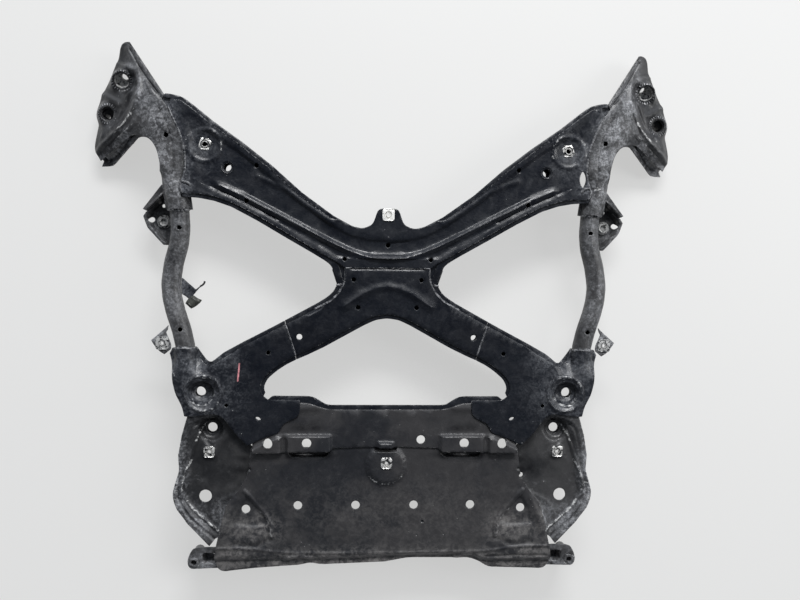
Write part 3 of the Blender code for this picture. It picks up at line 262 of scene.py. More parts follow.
def steel_paint(name, deep, soft, dust_and_light_colour, base_rough, smudged=0.02,
                grainy=0.35, rippled=0.40):
    """Black dip paint, dusty in mottled patches, worn along rims and convex folds, with painted
    highlights along rims, creases and arcs and painted shade in hollows.
    """
    paint = Paint(name)
    worn_and_lit, dust_and_light, painted_shade, scraped = paint.marks()
    clouds = paint.noise(7.0, 5.0, 0.6)
    broad = paint.noise(24.0, 7.0, 0.70, warp=0.9)
    patches = paint.noise(46.0, 6.0, 0.65, warp=0.6)
    mottle = paint.noise(115.0, 5.0, 0.70, warp=0.5)
    grains = paint.noise(260.0, 4.0, 0.70)
    specks = paint.spots(120.0, 0.085)
    colour = paint.mix(paint.ramp(clouds, 0.42, 0.58), deep, soft)
    cover = paint.math("ADD", paint.ramp(broad, 0.43, 0.60, 0.10, 0.55),
                       paint.ramp(mottle, 0.45, 0.57, 0.0, 0.55))
    shares = paint.math("MULTIPLY", dust_and_light, cover)
    smudge = paint.math("MULTIPLY", paint.ramp(patches, 0.55, 0.66),
                        paint.ramp(mottle, 0.46, 0.56))
    shares = paint.math("ADD", shares, paint.math("MULTIPLY", smudge, smudged))
    shares = paint.math("MULTIPLY", shares, paint.ramp(grains, 0.40, 0.60, grainy, 1.0))
    colour = paint.mix(shares, colour, dust_and_light_colour)
    # Worn rims and folds show bare metal; the same channel brings the painted highlights along
    # rims, creases and arcs.
    scrape = paint.math("ADD", worn_and_lit, paint.ramp(mottle, 0.38, 0.62, -0.85, 0.14))
    scrape = paint.ramp(scrape, 0.15, 0.75)
    streaks = paint.noise(60.0, 8.0, 0.75, stretch=(1.0, 2.6, 1.0), warp=1.2)
    rubbed = paint.math("ADD", streaks, paint.math("MULTIPLY", scraped, 0.30))
    scrape = paint.math("ADD", scrape, paint.ramp(rubbed, 0.73, 0.81))
    scrape = paint.math("MULTIPLY", scrape, paint.ramp(grains, 0.36, 0.58, 0.25, 1.0))
    colour = paint.mix(scrape, colour, BARE_AND_HIGHLIGHT)
    rare = paint.math("MULTIPLY", specks, paint.ramp(patches, 0.57, 0.62))
    colour = paint.mix(paint.math("MULTIPLY", rare, 0.70), colour, BARE_AND_HIGHLIGHT)
    # Painted shade: slots, pockets, hollows and concave folds darkened towards near-black.
    colour = paint.mix(paint.math("MULTIPLY", painted_shade, 0.85), colour, SHADE_BLACK)
    rough = paint.ramp(patches, 0.38, 0.62, base_rough, base_rough + 0.16)
    rough = paint.math("ADD", rough, paint.math("MULTIPLY", shares, 0.30))
    normal = paint.bump(grains, 0.00035, 0.5)
    normal = paint.bump(patches, 0.0016, rippled, normal)
    paint.shader.inputs["Specular IOR Level"].default_value = 0.42
    return paint.done(colour, rough, 0.0, normal)


def zinc_plate(name, bright, dull, rough, clean=0.46, metal=0.75):
    """Zinc plate with dirt in patches."""
    paint = Paint(name)
    patches = paint.noise(160.0, 5.0, 0.7)
    grains = paint.noise(900.0, 3.0, 0.6)
    colour = paint.mix(paint.ramp(patches, clean, clean + 0.12), bright, dull)
    normal = paint.bump(grains, 0.0002, 0.4)
    return paint.done(colour, paint.ramp(patches, 0.3, 0.7, rough, rough + 0.25), metal, normal)


def weld_metal(name):
    """Painted weld beads with scaly ripples."""
    paint = Paint(name)
    patches = paint.noise(120.0, 5.0, 0.7)
    grains = paint.noise(700.0, 3.0, 0.6)
    colour = paint.mix(paint.ramp(patches, 0.40, 0.62), SOFT_BLACK, WELD)
    colour = paint.mix(paint.ramp(grains, 0.62, 0.74), colour, BARE_AND_HIGHLIGHT)
    return paint.done(colour, 0.45, 0.0, paint.bump(patches, 0.0010, 0.6))


def moulded(name, colour):
    """Plastic or paint of one colour, slightly mottled."""
    paint = Paint(name)
    grains = paint.noise(500.0, 3.0, 0.6)
    patches = paint.noise(90.0, 4.0, 0.6)
    shade = paint.mix(paint.ramp(patches, 0.35, 0.65), colour, tuple(2.2 * c for c in colour))
    return paint.done(shade, 0.5, 0.0, paint.bump(grains, 0.0002, 0.4))


def studio_floor(name):
    """The pale floor."""
    paint = Paint(name)
    paint.shader.inputs["Emission Color"].default_value = FLOOR_LIGHT
    paint.shader.inputs["Emission Strength"].default_value = FLOOR_GLOW
    return paint.done(FLOOR_COLOUR, 0.6)


MATERIALS = {
    "black_steel": steel_paint("worn_black_paint", DEEP_BLACK, SOFT_BLACK, GREY_DUST, 0.27),
    "grey_steel": steel_paint("dusty_grey_paint", GREY_DEEP, GREY_SOFT, TUBE_DUST, 0.31, 0.10),
    "cover_steel": steel_paint("dull_black_paint", COVER_DEEP, COVER_SOFT, COVER_DUST, 0.32,
                               0.05, 0.75, 0.20),
    "tooth_steel": zinc_plate("pressed_steel", PRESSED, SOFT_BLACK, 0.40),
    "zinc": zinc_plate("zinc_plate", ZINC, DARK_ZINC, 0.45, 0.58, 0.35),
    "dull_zinc": zinc_plate("dull_zinc", OLD_ZINC, SOFT_BLACK, 0.5, 0.49, 0.3),
    "scraped_zinc": zinc_plate("scraped_zinc", ZINC, SOFT_BLACK, 0.40),
    "clip_plastic": moulded("clip_plastic", PLASTIC),
    "weld": weld_metal("weld_bead"),
    "pink_paint": moulded("pink_paint", PINK),
}


# Places of dust, some of which paint light on unlit faces, of painted shade, of scrapes and of
# worn rims that also paint highlights along the edges, which are worn a little everywhere:
# x, y, half widths in x and y, strength; the same on both sides
DUST_AND_LIGHT_PLACES = [
    (364.0, 120.0, 30.0, 110.0, 0.42),
    (372.0, 10.0, 30.0, 110.0, 0.45),
    (378.0, 0.0, 8.0, 70.0, 0.75),
    (412.0, 120.0, 26.0, 50.0, 0.55),
    (398.0, -72.0, 30.0, 30.0, 0.90),
    (445.0, 395.0, 12.0, 46.0, 0.42),
    (425.0, 345.0, 20.0, 40.0, 0.85),
    (398.0, 300.0, 30.0, 36.0, 0.95),
    (384.0, 245.0, 26.0, 46.0, 0.95),
    (372.0, 195.0, 30.0, 34.0, 0.9),
    (475.0, 300.0, 50.0, 60.0, 0.14),
    # These three paint the horns' lower flanges lighter: painted light on faces the lamps leave
    # dark.
    (492.0, 238.0, 20.0, 12.0, 0.9),
    (472.0, 252.0, 14.0, 14.0, 0.9),
    (452.0, 276.0, 12.0, 14.0, 0.9),
    (215.0, -405.0, 34.0, 30.0, 0.8),
    (262.0, -452.0, 40.0, 20.0, 0.9),
    (340.0, 250.0, 26.0, 50.0, 0.25),
    (318.0, 262.0, 36.0, 60.0, 0.16),
    (318.0, -165.0, 62.0, 60.0, 0.30),
    (352.0, -108.0, 46.0, 36.0, 0.30),
    (286.0, -110.0, 36.0, 26.0, 0.25),
    (361.0, -320.0, 14.0, 110.0, 1.0),
    (330.0, -400.0, 22.0, 30.0, 1.0),
    (286.0, -385.0, 22.0, 26.0, 0.6),
    (0.0, -470.0, 420.0, 26.0, 1.0),
    (240.0, -410.0, 60.0, 36.0, 0.60),
    (0.0, -380.0, 260.0, 60.0, 0.20),
]
# Painted shade: the slots under the tray's hoods, the pockets beside the cover, the horns' hollows
# round their bolts and strips beside the parts.
SHADED_PLACES = [
    (128.0, -226.0, 14.0, 5.0, 0.9),
    (150.0, -226.0, 14.0, 5.0, 0.9),
    (0.0, -265.0, 15.0, 5.5, 1.5),
    (134.0, -275.0, 44.0, 6.0, 1.5),
    (249.0, -282.0, 11.0, 5.0, 1.3),
    (252.0, -303.0, 14.0, 7.0, 1.3),
    (84.0, 40.0, 6.0, 12.0, 0.8),
    (120.0, 20.0, 90.0, 30.0, 0.35),
    (150.0, -60.0, 60.0, 30.0, 0.35),
    (463.5, 374.0, 22.0, 22.0, 0.6),
    (490.0, 318.0, 24.0, 24.0, 0.8),
    (452.0, 346.0, 9.0, 22.0, 0.7),
    (482.0, 352.0, 26.0, 60.0, 0.45),
    (371.0, 60.0, 5.0, 60.0, 0.55),
    (345.0, -60.0, 5.0, 40.0, 0.45),
]
SCRAPED = [
    (309.0, -270.0, 22.0, 14.0, 0.55),
    (244.0, -371.0, 26.0, 26.0, 0.30),
    (316.0, 264.0, 22.0, 18.0, 0.30),
    (368.0, 195.0, 26.0, 26.0, 0.60),
    (352.0, -400.0, 24.0, 50.0, 0.65),
    (366.0, -330.0, 12.0, 70.0, 0.75),
    (180.0, -180.0, 30.0, 10.0, 0.35),
    (316.0, -200.0, 40.0, 16.0, 0.45),
    (420.0, 300.0, 60.0, 60.0, 0.35),
]
# Rims worn by place; these marks also paint the bright highlight lines along the sheets' edges.
RIM_WEAR_AND_LIGHT = [
    (365.0, -320.0, 24.0, 130.0, 1.0),
    (480.0, 320.0, 60.0, 120.0, 0.8),
    (360.0, 270.0, 20.0, 80.0, 0.36),
    (0.0, -470.0, 320.0, 16.0, 0.8),
    (330.0, -160.0, 80.0, 60.0, 0.55),
    (0.0, 55.0, 60.0, 6.0, 0.9),
    (84.0, 20.0, 20.0, 30.0, 0.6),
]
RIM_WEAR_AND_LIGHT_LEAST = 0.26
DUST_LEAST = 0.02
ARC_HIGHLIGHT_HALF = 1.5
# Painted highlights along creases: run and half width
CREASE_HIGHLIGHTS = [
    ([(316.0, -221.0), (326.0, -238.0), (331.0, -250.0)], 1.5),
    ([(339.0, -284.0), (347.0, -300.0), (353.0, -320.0), (354.0, -338.0)], 1.5),
    ([(347.0, -355.0), (333.0, -374.0), (316.0, -390.0), (302.0, -403.0), (290.0, -412.0)], 1.5),
    ([(434.0, 326.0), (445.0, 312.0), (456.0, 300.0), (470.0, 288.0)], 1.6),
]
# Painted highlights along arcs: centre, radius, first and last angle in degrees, strength
ARC_HIGHLIGHTS = [
    ((318.5, -165.0), 31.0, 20.0, 120.0, 0.40),
    ((318.5, -165.0), 31.0, 210.0, 300.0, 0.45),
    ((321.0, -165.0), 21.5, 190.0, 330.0, 0.45),
    ((316.0, 262.0), 29.0, 120.0, 200.0, 0.50),
    ((316.0, 262.0), 31.0, -20.0, 40.0, 0.45),
    ((1.0, -292.0), 33.0, 185.0, 235.0, 0.90),
    ((1.0, -292.0), 34.0, 235.0, 330.0, 0.60),
    ((268.0, -424.0), 69.0, 130.0, 178.0, 0.35),
]


def arc(centre, radius, first, last):
    """Plan points on a part of a circle, by angles in degrees."""
    turns = [math.radians(first + (last - first) * k / 16) for k in range(17)]
    return [(centre[0] + radius * math.cos(turn), centre[1] + radius * math.sin(turn))
            for turn in turns]


# Relief that the frame's plain shells lack: run, half width, height. First the horns'
HORN_RELIEF = [
    ([(468.0, 334.0), (483.0, 343.0), (498.0, 351.0), (511.0, 357.0)], 9.0, 4.5),
    ([(474.0, 404.0), (450.0, 397.0), (435.0, 387.0), (429.0, 370.0), (429.0, 353.0),
      (435.0, 336.0), (443.0, 319.0), (454.0, 302.0), (468.0, 288.0), (483.0, 275.0),
      (500.0, 262.0), (512.0, 252.0)], 8.0, 5.0),
    ([(447.0, 383.0), (441.0, 368.0), (442.0, 352.0), (449.0, 336.0), (457.0, 320.0),
      (467.0, 306.0), (481.0, 294.0)], 7.0, -4.5),
    ([(449.0, 427.0), (420.0, 380.0), (389.0, 341.0)], 3.4, -3.0),
    ([(455.0, 430.0), (425.0, 384.0), (405.0, 352.0)], 7.0, 2.0),
    ([(392.0, 322.0), (380.0, 300.0), (372.0, 270.0), (368.0, 240.0), (370.0, 212.0)], 3.0, -1.6),
]
# The beam's bosses and fan of folds
BEAM_RELIEF = [
    (arc((316.0, 262.0), 27.0, 0.0, 360.0), 6.0, 1.8),
    ([(97.0, 133.0), (139.0, 160.0), (181.0, 190.0), (226.0, 210.0)], 7.0, 1.5),
]
# The rims of the large cups
CUP_RELIEF = [
    (arc((318.5, -165.0), 31.0, 0.0, 360.0), 3.6, 2.4),
    (arc((321.0, -165.0), 21.5, 0.0, 360.0), 3.2, 1.6),
]
# The wings' folded rim
WING_RELIEF = [
    ([(318.0, -212.0), (337.0, -226.0), (346.0, -254.0), (350.0, -283.0), (354.0, -306.0),
      (361.0, -330.0), (362.0, -346.0), (352.0, -368.0), (335.0, -392.0), (300.0, -424.0)],
     5.0, -3.0),
    ([(316.0, -221.0), (326.0, -238.0), (333.0, -254.0), (340.0, -277.0), (347.0, -298.0),
      (354.0, -320.0), (355.0, -339.0), (347.0, -355.0), (333.0, -374.0), (316.0, -390.0),
      (302.0, -403.0), (290.0, -412.0)], 4.5, 2.6),
    ([(304.0, -260.0), (318.0, -246.0), (322.0, -228.0)], 6.0, -1.6),
    ([(262.0, -345.0), (290.0, -360.0), (306.0, -384.0)], 7.0, 1.2),
]
# The cover's embosses and foot
COVER_RELIEF = [
    ([(246.0, -338.0), (229.0, -358.0), (212.0, -378.0), (201.0, -396.0), (199.0, -420.0)],
     6.0, 3.0),
    ([(262.0, -352.0), (276.0, -384.0), (284.0, -412.0)], 7.0, 1.6),
    ([(200.0, -424.0), (230.0, -436.0), (262.0, -432.0)], 8.0, -1.5),
    ([(238.0, -262.0), (250.0, -283.0), (262.0, -289.0)], 4.0, -2.5),
    ([(238.0, -300.0), (251.0, -298.0), (264.0, -312.0)], 4.5, -3.0),
    ([(298.0, -440.0), (238.0, -441.0), (176.0, -448.0), (70.0, -450.0), (0.0, -450.0)], 4.0, 1.5),
    ([(292.0, -458.0), (238.0, -457.0), (180.0, -459.0)], 4.0, -1.5),
    ([(176.0, -462.0), (150.0, -455.0), (128.0, -462.0)], 7.0, 2.4),
]
# The tray's ridges
TRAY_RELIEF = [
    ([(205.0, -258.0), (214.0, -246.0), (196.0, -240.0), (176.0, -240.0)], 7.0, 1.5),
    ([(120.0, -190.0), (170.0, -196.0), (230.0, -236.0)], 9.0, 1.6),
]
# Weld beads on both sides: run, half width, height
BEADS = [
    ([(74.6, 54.5), (73.6, 44.0), (76.0, 30.0), (83.0, 15.5), (93.0, 3.5), (104.0, -5.0),
      (128.0, -17.5)], 1.9, 1.3),
    ([(79.0, 26.4), (84.0, 25.4), (89.5, 25.2)], 2.4, 1.2),
    ([(176.7, -44.2), (167.5, -71.0), (158.5, -98.4)], 1.6, 0.9),
    ([(377.0, 325.0), (369.3, 308.0), (359.3, 286.0), (351.8, 262.0), (348.8, 240.0),
      (349.4, 220.0), (354.2, 202.0)], 2.0, 1.3),
    ([(333.0, -88.6), (342.0, -87.0), (351.4, -86.4), (361.0, -87.0), (370.0, -88.6)], 2.2, 1.4),
    ([(343.0, 151.6), (352.0, 150.6), (362.0, 150.2), (372.0, 150.6), (382.0, 151.6)], 2.0, 1.2),
    ([(339.0, 192.0), (346.0, 198.0), (355.5, 198.0), (357.0, 188.0), (352.5, 176.0)], 2.8, 1.8),
]
FLANGE_INNER = [(497.0, 249.0), (476.0, 266.0), (455.0, 283.5), (440.0, 295.0)]
FLANGE_OUTER = [(494.0, 238.0), (475.0, 247.0), (456.0, 267.0), (439.0, 285.0)]
HORN_UPPER_BOLT = (463.5, 374.0)
HORN_LOWER_BOLT = (490.0, 318.0)
HORN_UPPER_PAD = 46.0
HORN_FOOT = 240.0
SHADE_DISC_SPOT = (67.0, -394.0)
SLEEVE_BORE = 8.2
PAD_LEAN = (0.15, 0.35)
TEETH = 24

# Nodes whose finish differs from their slot's usual one
LOOKS = {
    "rear_cover_panel": "cover_steel",
    "rear_tray": "cover_steel",
    "horn_collar_upper_left": "dull_zinc",
    "horn_collar_upper_right": "dull_zinc",
    "arm_nut_left": "dull_zinc",
    "arm_nut_right": "dull_zinc",
    "undertray_clip_nut_left": "dull_zinc",
    "undertray_clip_nut_right": "dull_zinc",
    "beam_clip_nut_left": "scraped_zinc",
    "beam_clip_nut_right": "scraped_zinc",
    "wing_clip_nut_left": "scraped_zinc",
    "wing_clip_nut_right": "scraped_zinc",
    "cover_clip_nut": "scraped_zinc",
}


# Fine copies of the frame's nodes


def node_mesh(name):
    """A loose copy of a node's mesh, in the frame's place."""
    node = frame["nodes"][name]
    bm = bmesh.new()
    bm.from_mesh(node.data)
    bm.transform(node.matrix_world)
    bmesh.ops.remove_doubles(bm, verts=bm.verts, dist=1e-6)
    return bm


def fold_points(bm, least, most):
    """Places along the folds of a mesh."""
    spots = []
    for edge in bm.edges:
        if len(edge.link_faces) == 2 and least < edge.calc_face_angle(0.0) < most:
            pieces = max(1, math.ceil(edge.calc_length() / (FOLD_SAMPLE * MM)))
            for piece in range(pieces + 1):
                spots.append(edge.verts[0].co.lerp(edge.verts[1].co, piece / pieces))
    return spots


def is_rim(edge):
    """Whether an edge is a sheet's sharp rim."""
    return len(edge.link_faces) == 2 and edge.calc_face_angle(0.0) > RIM_LEAST


def split_long(bm, step, near, features):
    """Splits the edges: short beside the folds and the carved runs, longer on the flats."""
    spots = fold_points(bm, CREASE_LEAST, RIM_LEAST)
    tree = KDTree(len(spots))
    for index, spot in enumerate(spots):
        tree.insert(spot, index)
    tree.balance()
    runs = np.vstack([curve(run, RUN_STEP) for run, _, _ in features]) if features else ()
    carving = KDTree(len(runs))
    for index, (x, y) in enumerate(runs):
        carving.insert((x, y, 0.0), index)
    carving.balance()

    def limit(edge):
        if is_rim(edge):
            return RIM_STEP * MM
        far = step
        middle = (edge.verts[0].co + edge.verts[1].co) / 2
        if spots:
            away = tree.find(middle)[2] / MM
            far = min(step, near + max(0.0, away - CREASE_REACH) * STEP_GROWTH)
        if len(runs):
            away = carving.find((abs(middle.x) / MM, middle.y / MM - PLAN_SHIFT, 0.0))[2]
            far = min(far, near + max(0.0, away - CREASE_REACH) * STEP_GROWTH)
        return far * MM

    for _ in range(SPLIT_ROUNDS):
        chosen = [edge for edge in bm.edges if edge.calc_length() > SPLIT_OVER * limit(edge)]
        if not chosen:
            break
        bmesh.ops.subdivide_edges(bm, edges=chosen, cuts=1)
        many = [face for face in bm.faces if len(face.verts) > 3]
        bmesh.ops.triangulate(bm, faces=many)


def relax(bm, rounds, flat, soft):
    """Rounds the folds, but not the rims. Flat moves heights only. Soft adds rounds for what
    lies far out."""
    bm.verts.ensure_lookup_table()
    bm.verts.index_update()
    spots = np.array([vert.co for vert in bm.verts])
    pairs = np.array([[v.index for v in edge.verts] for edge in bm.edges])
    fixed = np.zeros(len(spots), dtype=bool)
    for edge in bm.edges:
        if is_rim(edge):
            for vert in edge.verts:
                fixed[vert.index] = True
    a, b = pairs[:, 0], pairs[:, 1]
    for turn in range(rounds + soft):
        if turn == rounds:
            fixed |= np.abs(spots[:, 0]) < SOFT_FROM * MM
        gap = spots[b] - spots[a]
        weight = 1.0 / np.maximum(np.linalg.norm(gap, axis=1), 1e-5)
        pull = np.zeros_like(spots)
        load = np.zeros(len(spots))
        np.add.at(pull, a, gap * weight[:, None])
        np.add.at(pull, b, -gap * weight[:, None])
        np.add.at(load, a, weight)
        np.add.at(load, b, weight)
        move = RELAX_PULL * pull / np.maximum(load, 1e-9)[:, None]
        move[fixed] = 0.0
        if flat:
            move[:, :2] = 0.0
        spots = spots + move
    for vert, spot in zip(bm.verts, spots):
        vert.co = spot


def round_rims(bm):
    """Takes the kinks out of the rims, without shrinking them; real corners stay."""
    ways = {}
    for edge in bm.edges:
        if is_rim(edge):
            for vert in edge.verts:
                ways.setdefault(vert, []).append(edge.other_vert(vert))
    chain = [vert for vert, near in ways.items() if len(near) == 2
             and (vert.co - near[0].co).angle(near[1].co - vert.co, math.pi) < RIM_TURN]
    for _ in range(RIM_ROUNDS):
        for share in (RIM_SHRINK, RIM_SWELL):
            moves = [((ways[vert][0].co + ways[vert][1].co) / 2 - vert.co) * share
                     for vert in chain]
            for vert, move in zip(chain, moves):
                vert.co += move


def bevel_rims(bm):
    """A small bevel along every rim, which catches the light; gives its faces. Points that
    the bevel throws far off a narrow sheet go back onto it."""
    before = BVHTree.FromBMesh(bm)
    rims = [edge for edge in bm.edges if is_rim(edge) and edge.calc_length() > 1e-6]
    made = bmesh.ops.bevel(bm, geom=rims, offset=RIM_BEVEL * MM, offset_type="OFFSET", segments=1,
                           profile=0.5, affect="EDGES", clamp_overlap=False)
    for vert in made["verts"]:
        spot, _, _, gap = before.find_nearest(vert.co)
        if gap > RIM_BEVEL * MM:
            vert.co = spot
    return made["faces"]


def ripple(x, y):
    """How far the waviness lifts the sheets at a place in metres."""
    return WAVE * MM * noise.noise(Vector((x, y, 0.0)) / (WAVE_LENGTH * MM))


def wave(bm):
    """A slight waviness, the same for all pressings at one place."""
    for vert in bm.verts:
        vert.co.z += ripple(vert.co.x, vert.co.y)


def curve(points, step):
    """Equally spaced points on a smooth run."""
    knots = np.array(points, dtype=float)
    knots = np.vstack([2 * knots[0] - knots[1], knots, 2 * knots[-1] - knots[-2]])
    dense = []
    for p0, p1, p2, p3 in zip(knots, knots[1:], knots[2:], knots[3:]):
        for t in np.linspace(0.0, 1.0, 12, endpoint=False):
            dense.append(0.5 * (2 * p1 + (p2 - p0) * t + (2 * p0 - 5 * p1 + 4 * p2 - p3) * t ** 2
                                + (3 * p1 - p0 - 3 * p2 + p3) * t ** 3))
    dense = np.array(dense + [knots[-2]])
    along = np.append(0.0, np.cumsum(np.linalg.norm(np.diff(dense, axis=0), axis=1)))
    stops = np.linspace(0.0, along[-1], max(2, round(along[-1] / step)) + 1)
    return np.stack([np.interp(stops, along, column) for column in dense.T], axis=1)


def headings(run):
    """The unit direction at each plan point of a run."""
    ways = np.gradient(run, axis=0)
    return ways / np.linalg.norm(ways, axis=1)[:, None]


def from_run(points, run):
    """How far each plan point lies from a run."""
    starts, ends = run[:-1], run[1:]
    ways = ends - starts
    offset = points[:, None] - starts[None]
    share = np.clip((offset * ways).sum(axis=2) / (ways ** 2).sum(axis=1), 0.0, 1.0)
    return np.linalg.norm(offset - share[:, :, None] * ways, axis=2).min(axis=1)


def carved(plan, features):
    """How far soft ridges and valleys, each a run, half width and height, lift plan points."""
    lift = np.zeros(len(plan))
    for run, half, height in features:
        share = np.clip(from_run(plan, curve(run, RUN_STEP)) / half, 0.0, 1.0)
        lift += height * (0.5 + 0.5 * np.cos(math.pi * share))
    return lift


def plan_points(bm):
    """The plan places of a mesh's points, all on the right side."""
    return np.array([(abs(v.co.x) / MM, v.co.y / MM - PLAN_SHIFT) for v in bm.verts])


def carve(bm, features):
    """Lifts the points of a mesh by its ridges and valleys."""
    bm.verts.ensure_lookup_table()
    for vert, rise in zip(bm.verts, carved(plan_points(bm), features)):
        vert.co.z += rise * MM


def place_marks(points, spots, least=0.0):
    """How strongly each plan point is marked by a list of blobs, 0 to 1."""
    total = np.full(len(points), least)
    for x, y, wide, tall, strength in spots:
        across = (np.abs(points[:, 0]) - x) / wide
        along = (points[:, 1] - y) / tall
        total = np.maximum(total, strength * np.exp(-(across ** 2 + along ** 2)))
    return np.clip(total, 0.0, 1.0)


def mark(mesh, bm, rims):
    """Paints wear on rims and convex folds, dust and some painted light, painted highlights along
    rims, creases and arcs, painted shade in concave folds and dark places, and scrapes, by place
    and fold.
    """
    bm.normal_update()
    bm.verts.ensure_lookup_table()
    count = len(bm.verts)
    wear_and_highlight = np.zeros(count)
    painted_shade = np.zeros(count)
    # Convex folds get wear; concave folds get painted shade, darker the sharper they bend.
    for vert in bm.verts:
        near = [edge.other_vert(vert).co - vert.co for edge in vert.link_edges]
        size = sum(way.length for way in near) / len(near)
        bend = sum(near, Vector()).dot(vert.normal) / len(near) / max(size, 1e-6)
        wear_and_highlight[vert.index] = max(0.0, -bend) * 1.6
        painted_shade[vert.index] = max(0.0, bend) * 2.5
    plan = plan_points(bm)
    painted_shade = np.maximum(painted_shade, place_marks(plan, SHADED_PLACES))
    rim_wear_and_light = place_marks(plan, RIM_WEAR_AND_LIGHT, RIM_WEAR_AND_LIGHT_LEAST)
    wear_and_highlight = np.minimum(wear_and_highlight, 0.6 * (rim_wear_and_light - RIM_WEAR_AND_LIGHT_LEAST))
    # Painted highlights along the creases and arcs where the light catches.
    for run, half in CREASE_HIGHLIGHTS:
        wear_and_highlight = np.maximum(wear_and_highlight, 0.85 * (from_run(plan, curve(run, RUN_STEP)) < half))
    for centre, radius, first, last, strength in ARC_HIGHLIGHTS:
        run = np.array(arc(centre, radius, first, last))
        wear_and_highlight = np.maximum(wear_and_highlight, strength * (from_run(plan, run) < ARC_HIGHLIGHT_HALF))
    dust_and_light = place_marks(plan, DUST_AND_LIGHT_PLACES, DUST_LEAST)
    values = np.stack([wear_and_highlight, dust_and_light, painted_shade, place_marks(plan, SCRAPED)], axis=1)
    corners = np.array([loop.vert.index for face in bm.faces for loop in face.loops])
    values = values[corners]
    # Rim faces take the rim marks: wear and a painted highlight along the edge.
    if rims is not None:
        worn_and_lit = np.array([rims[face.index] for face in bm.faces for _ in face.loops])
        values[worn_and_lit, 0] = rim_wear_and_light[corners][worn_and_lit]
    layer = mesh.color_attributes.new("marks", "FLOAT_COLOR", "CORNER")
    layer.data.foreach_set("color", np.clip(values, 0, 1).ravel().astype(np.float32))


def keep(bm, name, node, slot, rims=None, angle=SHEET_SHARP):
    """Makes the piece that stands for a node, or an added one where node is None."""
    mesh = bpy.data.meshes.new(name)
    bm.verts.index_update()
    bm.faces.index_update()
    bm.to_mesh(mesh)
    if rims is not None:
        worn_and_lit = np.zeros(len(bm.faces), dtype=bool)
        worn_and_lit[[face.index for face in rims]] = True
        rims = worn_and_lit
    mark(mesh, bm, rims)
    bm.free()
    mesh.shade_smooth()
    mesh.set_sharp_from_angle(angle=math.radians(angle))
    mesh.materials.append(MATERIALS[LOOKS.get(node, slot)])
    piece = bpy.data.objects.new(name, mesh)
    bpy.context.scene.collection.objects.link(piece)
    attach(piece, "root")
    if node:
        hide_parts(node)


def stand_in(bm, node):
    """Finishes a turned or small piece that stands for a node."""
    keep(bm, node + "_fine", node, slots[node], None, TURNED_SHARP)


def pressing(node, step=FLAT_STEP, near=CREASE_STEP, rounds=9, flat=True, features=(), soft=0):
    """A fine copy of a pressed sheet."""
    bm = node_mesh(node)
    split_long(bm, step, near, features)
    relax(bm, rounds, flat, soft)
    round_rims(bm)
    rims = bevel_rims(bm)
    carve(bm, features)
    wave(bm)
    keep(bm, node + "_fine", node, slots[node], rims)


def dress_nodes():
    """Every node of the frame gets its fine copy."""
    for node in frame["nodes"]:
        if node.startswith("horn_lower") or node.startswith("horn_upper"):
            pressing(node, 5.0, 3.5, 7, False, HORN_RELIEF)
        elif node.startswith("horn_collar"):
            bolt_sleeve(node)
        elif "clip_nut" in node:
            clip_nut(node)
        elif node.startswith("side_tube"):
            pressing(node, 6.0, 4.0, 5, False)
        elif node == "front_beam_lower":
            pressing(node, rounds=24, features=BEAM_RELIEF, soft=60)
        elif node == "centre_plate_lower":
            pressing(node, rounds=34)
        elif node.startswith("rear_corner_lower"):
            pressing(node, features=CUP_RELIEF)
        elif node.startswith("arm_nut"):
            ring_nut(node)
        elif node.startswith("rear_inner_collar") or node.startswith("rear_mount_collar"):
            cup_sleeve(node)
        elif node.startswith("rear_wing"):
            pressing(node, near=1.9, rounds=12, features=WING_RELIEF)
        elif node == "rear_cover_panel":
            pressing(node, features=COVER_RELIEF)
        elif node == "rear_tray":
            pressing(node, features=TRAY_RELIEF)
        elif "bracket" in node or not ("collar" in node or "nut" in node or "rear_eye" in node):
            pressing(node)
        else:
            stand_in(node_mesh(node), node)


# Built pieces


def loft(bm, loops, joined=True):
    """Skins loops of equal length, one after the other; joined closes it like a ring."""
    rows = [[bm.verts.new(point) for point in loop] for loop in loops]
    count = len(rows[0])
    pairs = list(zip(rows, rows[1:] + rows[:1] if joined else rows[1:]))
    for one, two in pairs:
        for k in range(count):
            bm.faces.new([one[k], one[(k + 1) % count], two[(k + 1) % count], two[k]])
    if not joined:
        bm.faces.new(list(reversed(rows[0])))
        bm.faces.new(rows[-1])


def added(bm, name, slot, angle=TURNED_SHARP):
    """Finishes a piece that the frame doesn't have."""
    bmesh.ops.recalc_face_normals(bm, faces=bm.faces)
    keep(bm, name, None, slot, None, angle)


def ring(centre, radius, height, sides=32, square=1.0, turn=Matrix.Identity(3)):
    """A round loop, or one with rounded corners where square is small."""
    loop = []
    for index in range(sides):
        angle = 2 * math.pi * (index + 0.5) / sides
        x, y = math.cos(angle), math.sin(angle)
        x = math.copysign(abs(x) ** square, x) * radius * MM
        y = math.copysign(abs(y) ** square, y) * radius * MM
        loop.append(centre + turn @ Vector((x, y, height * MM)))
    return loop


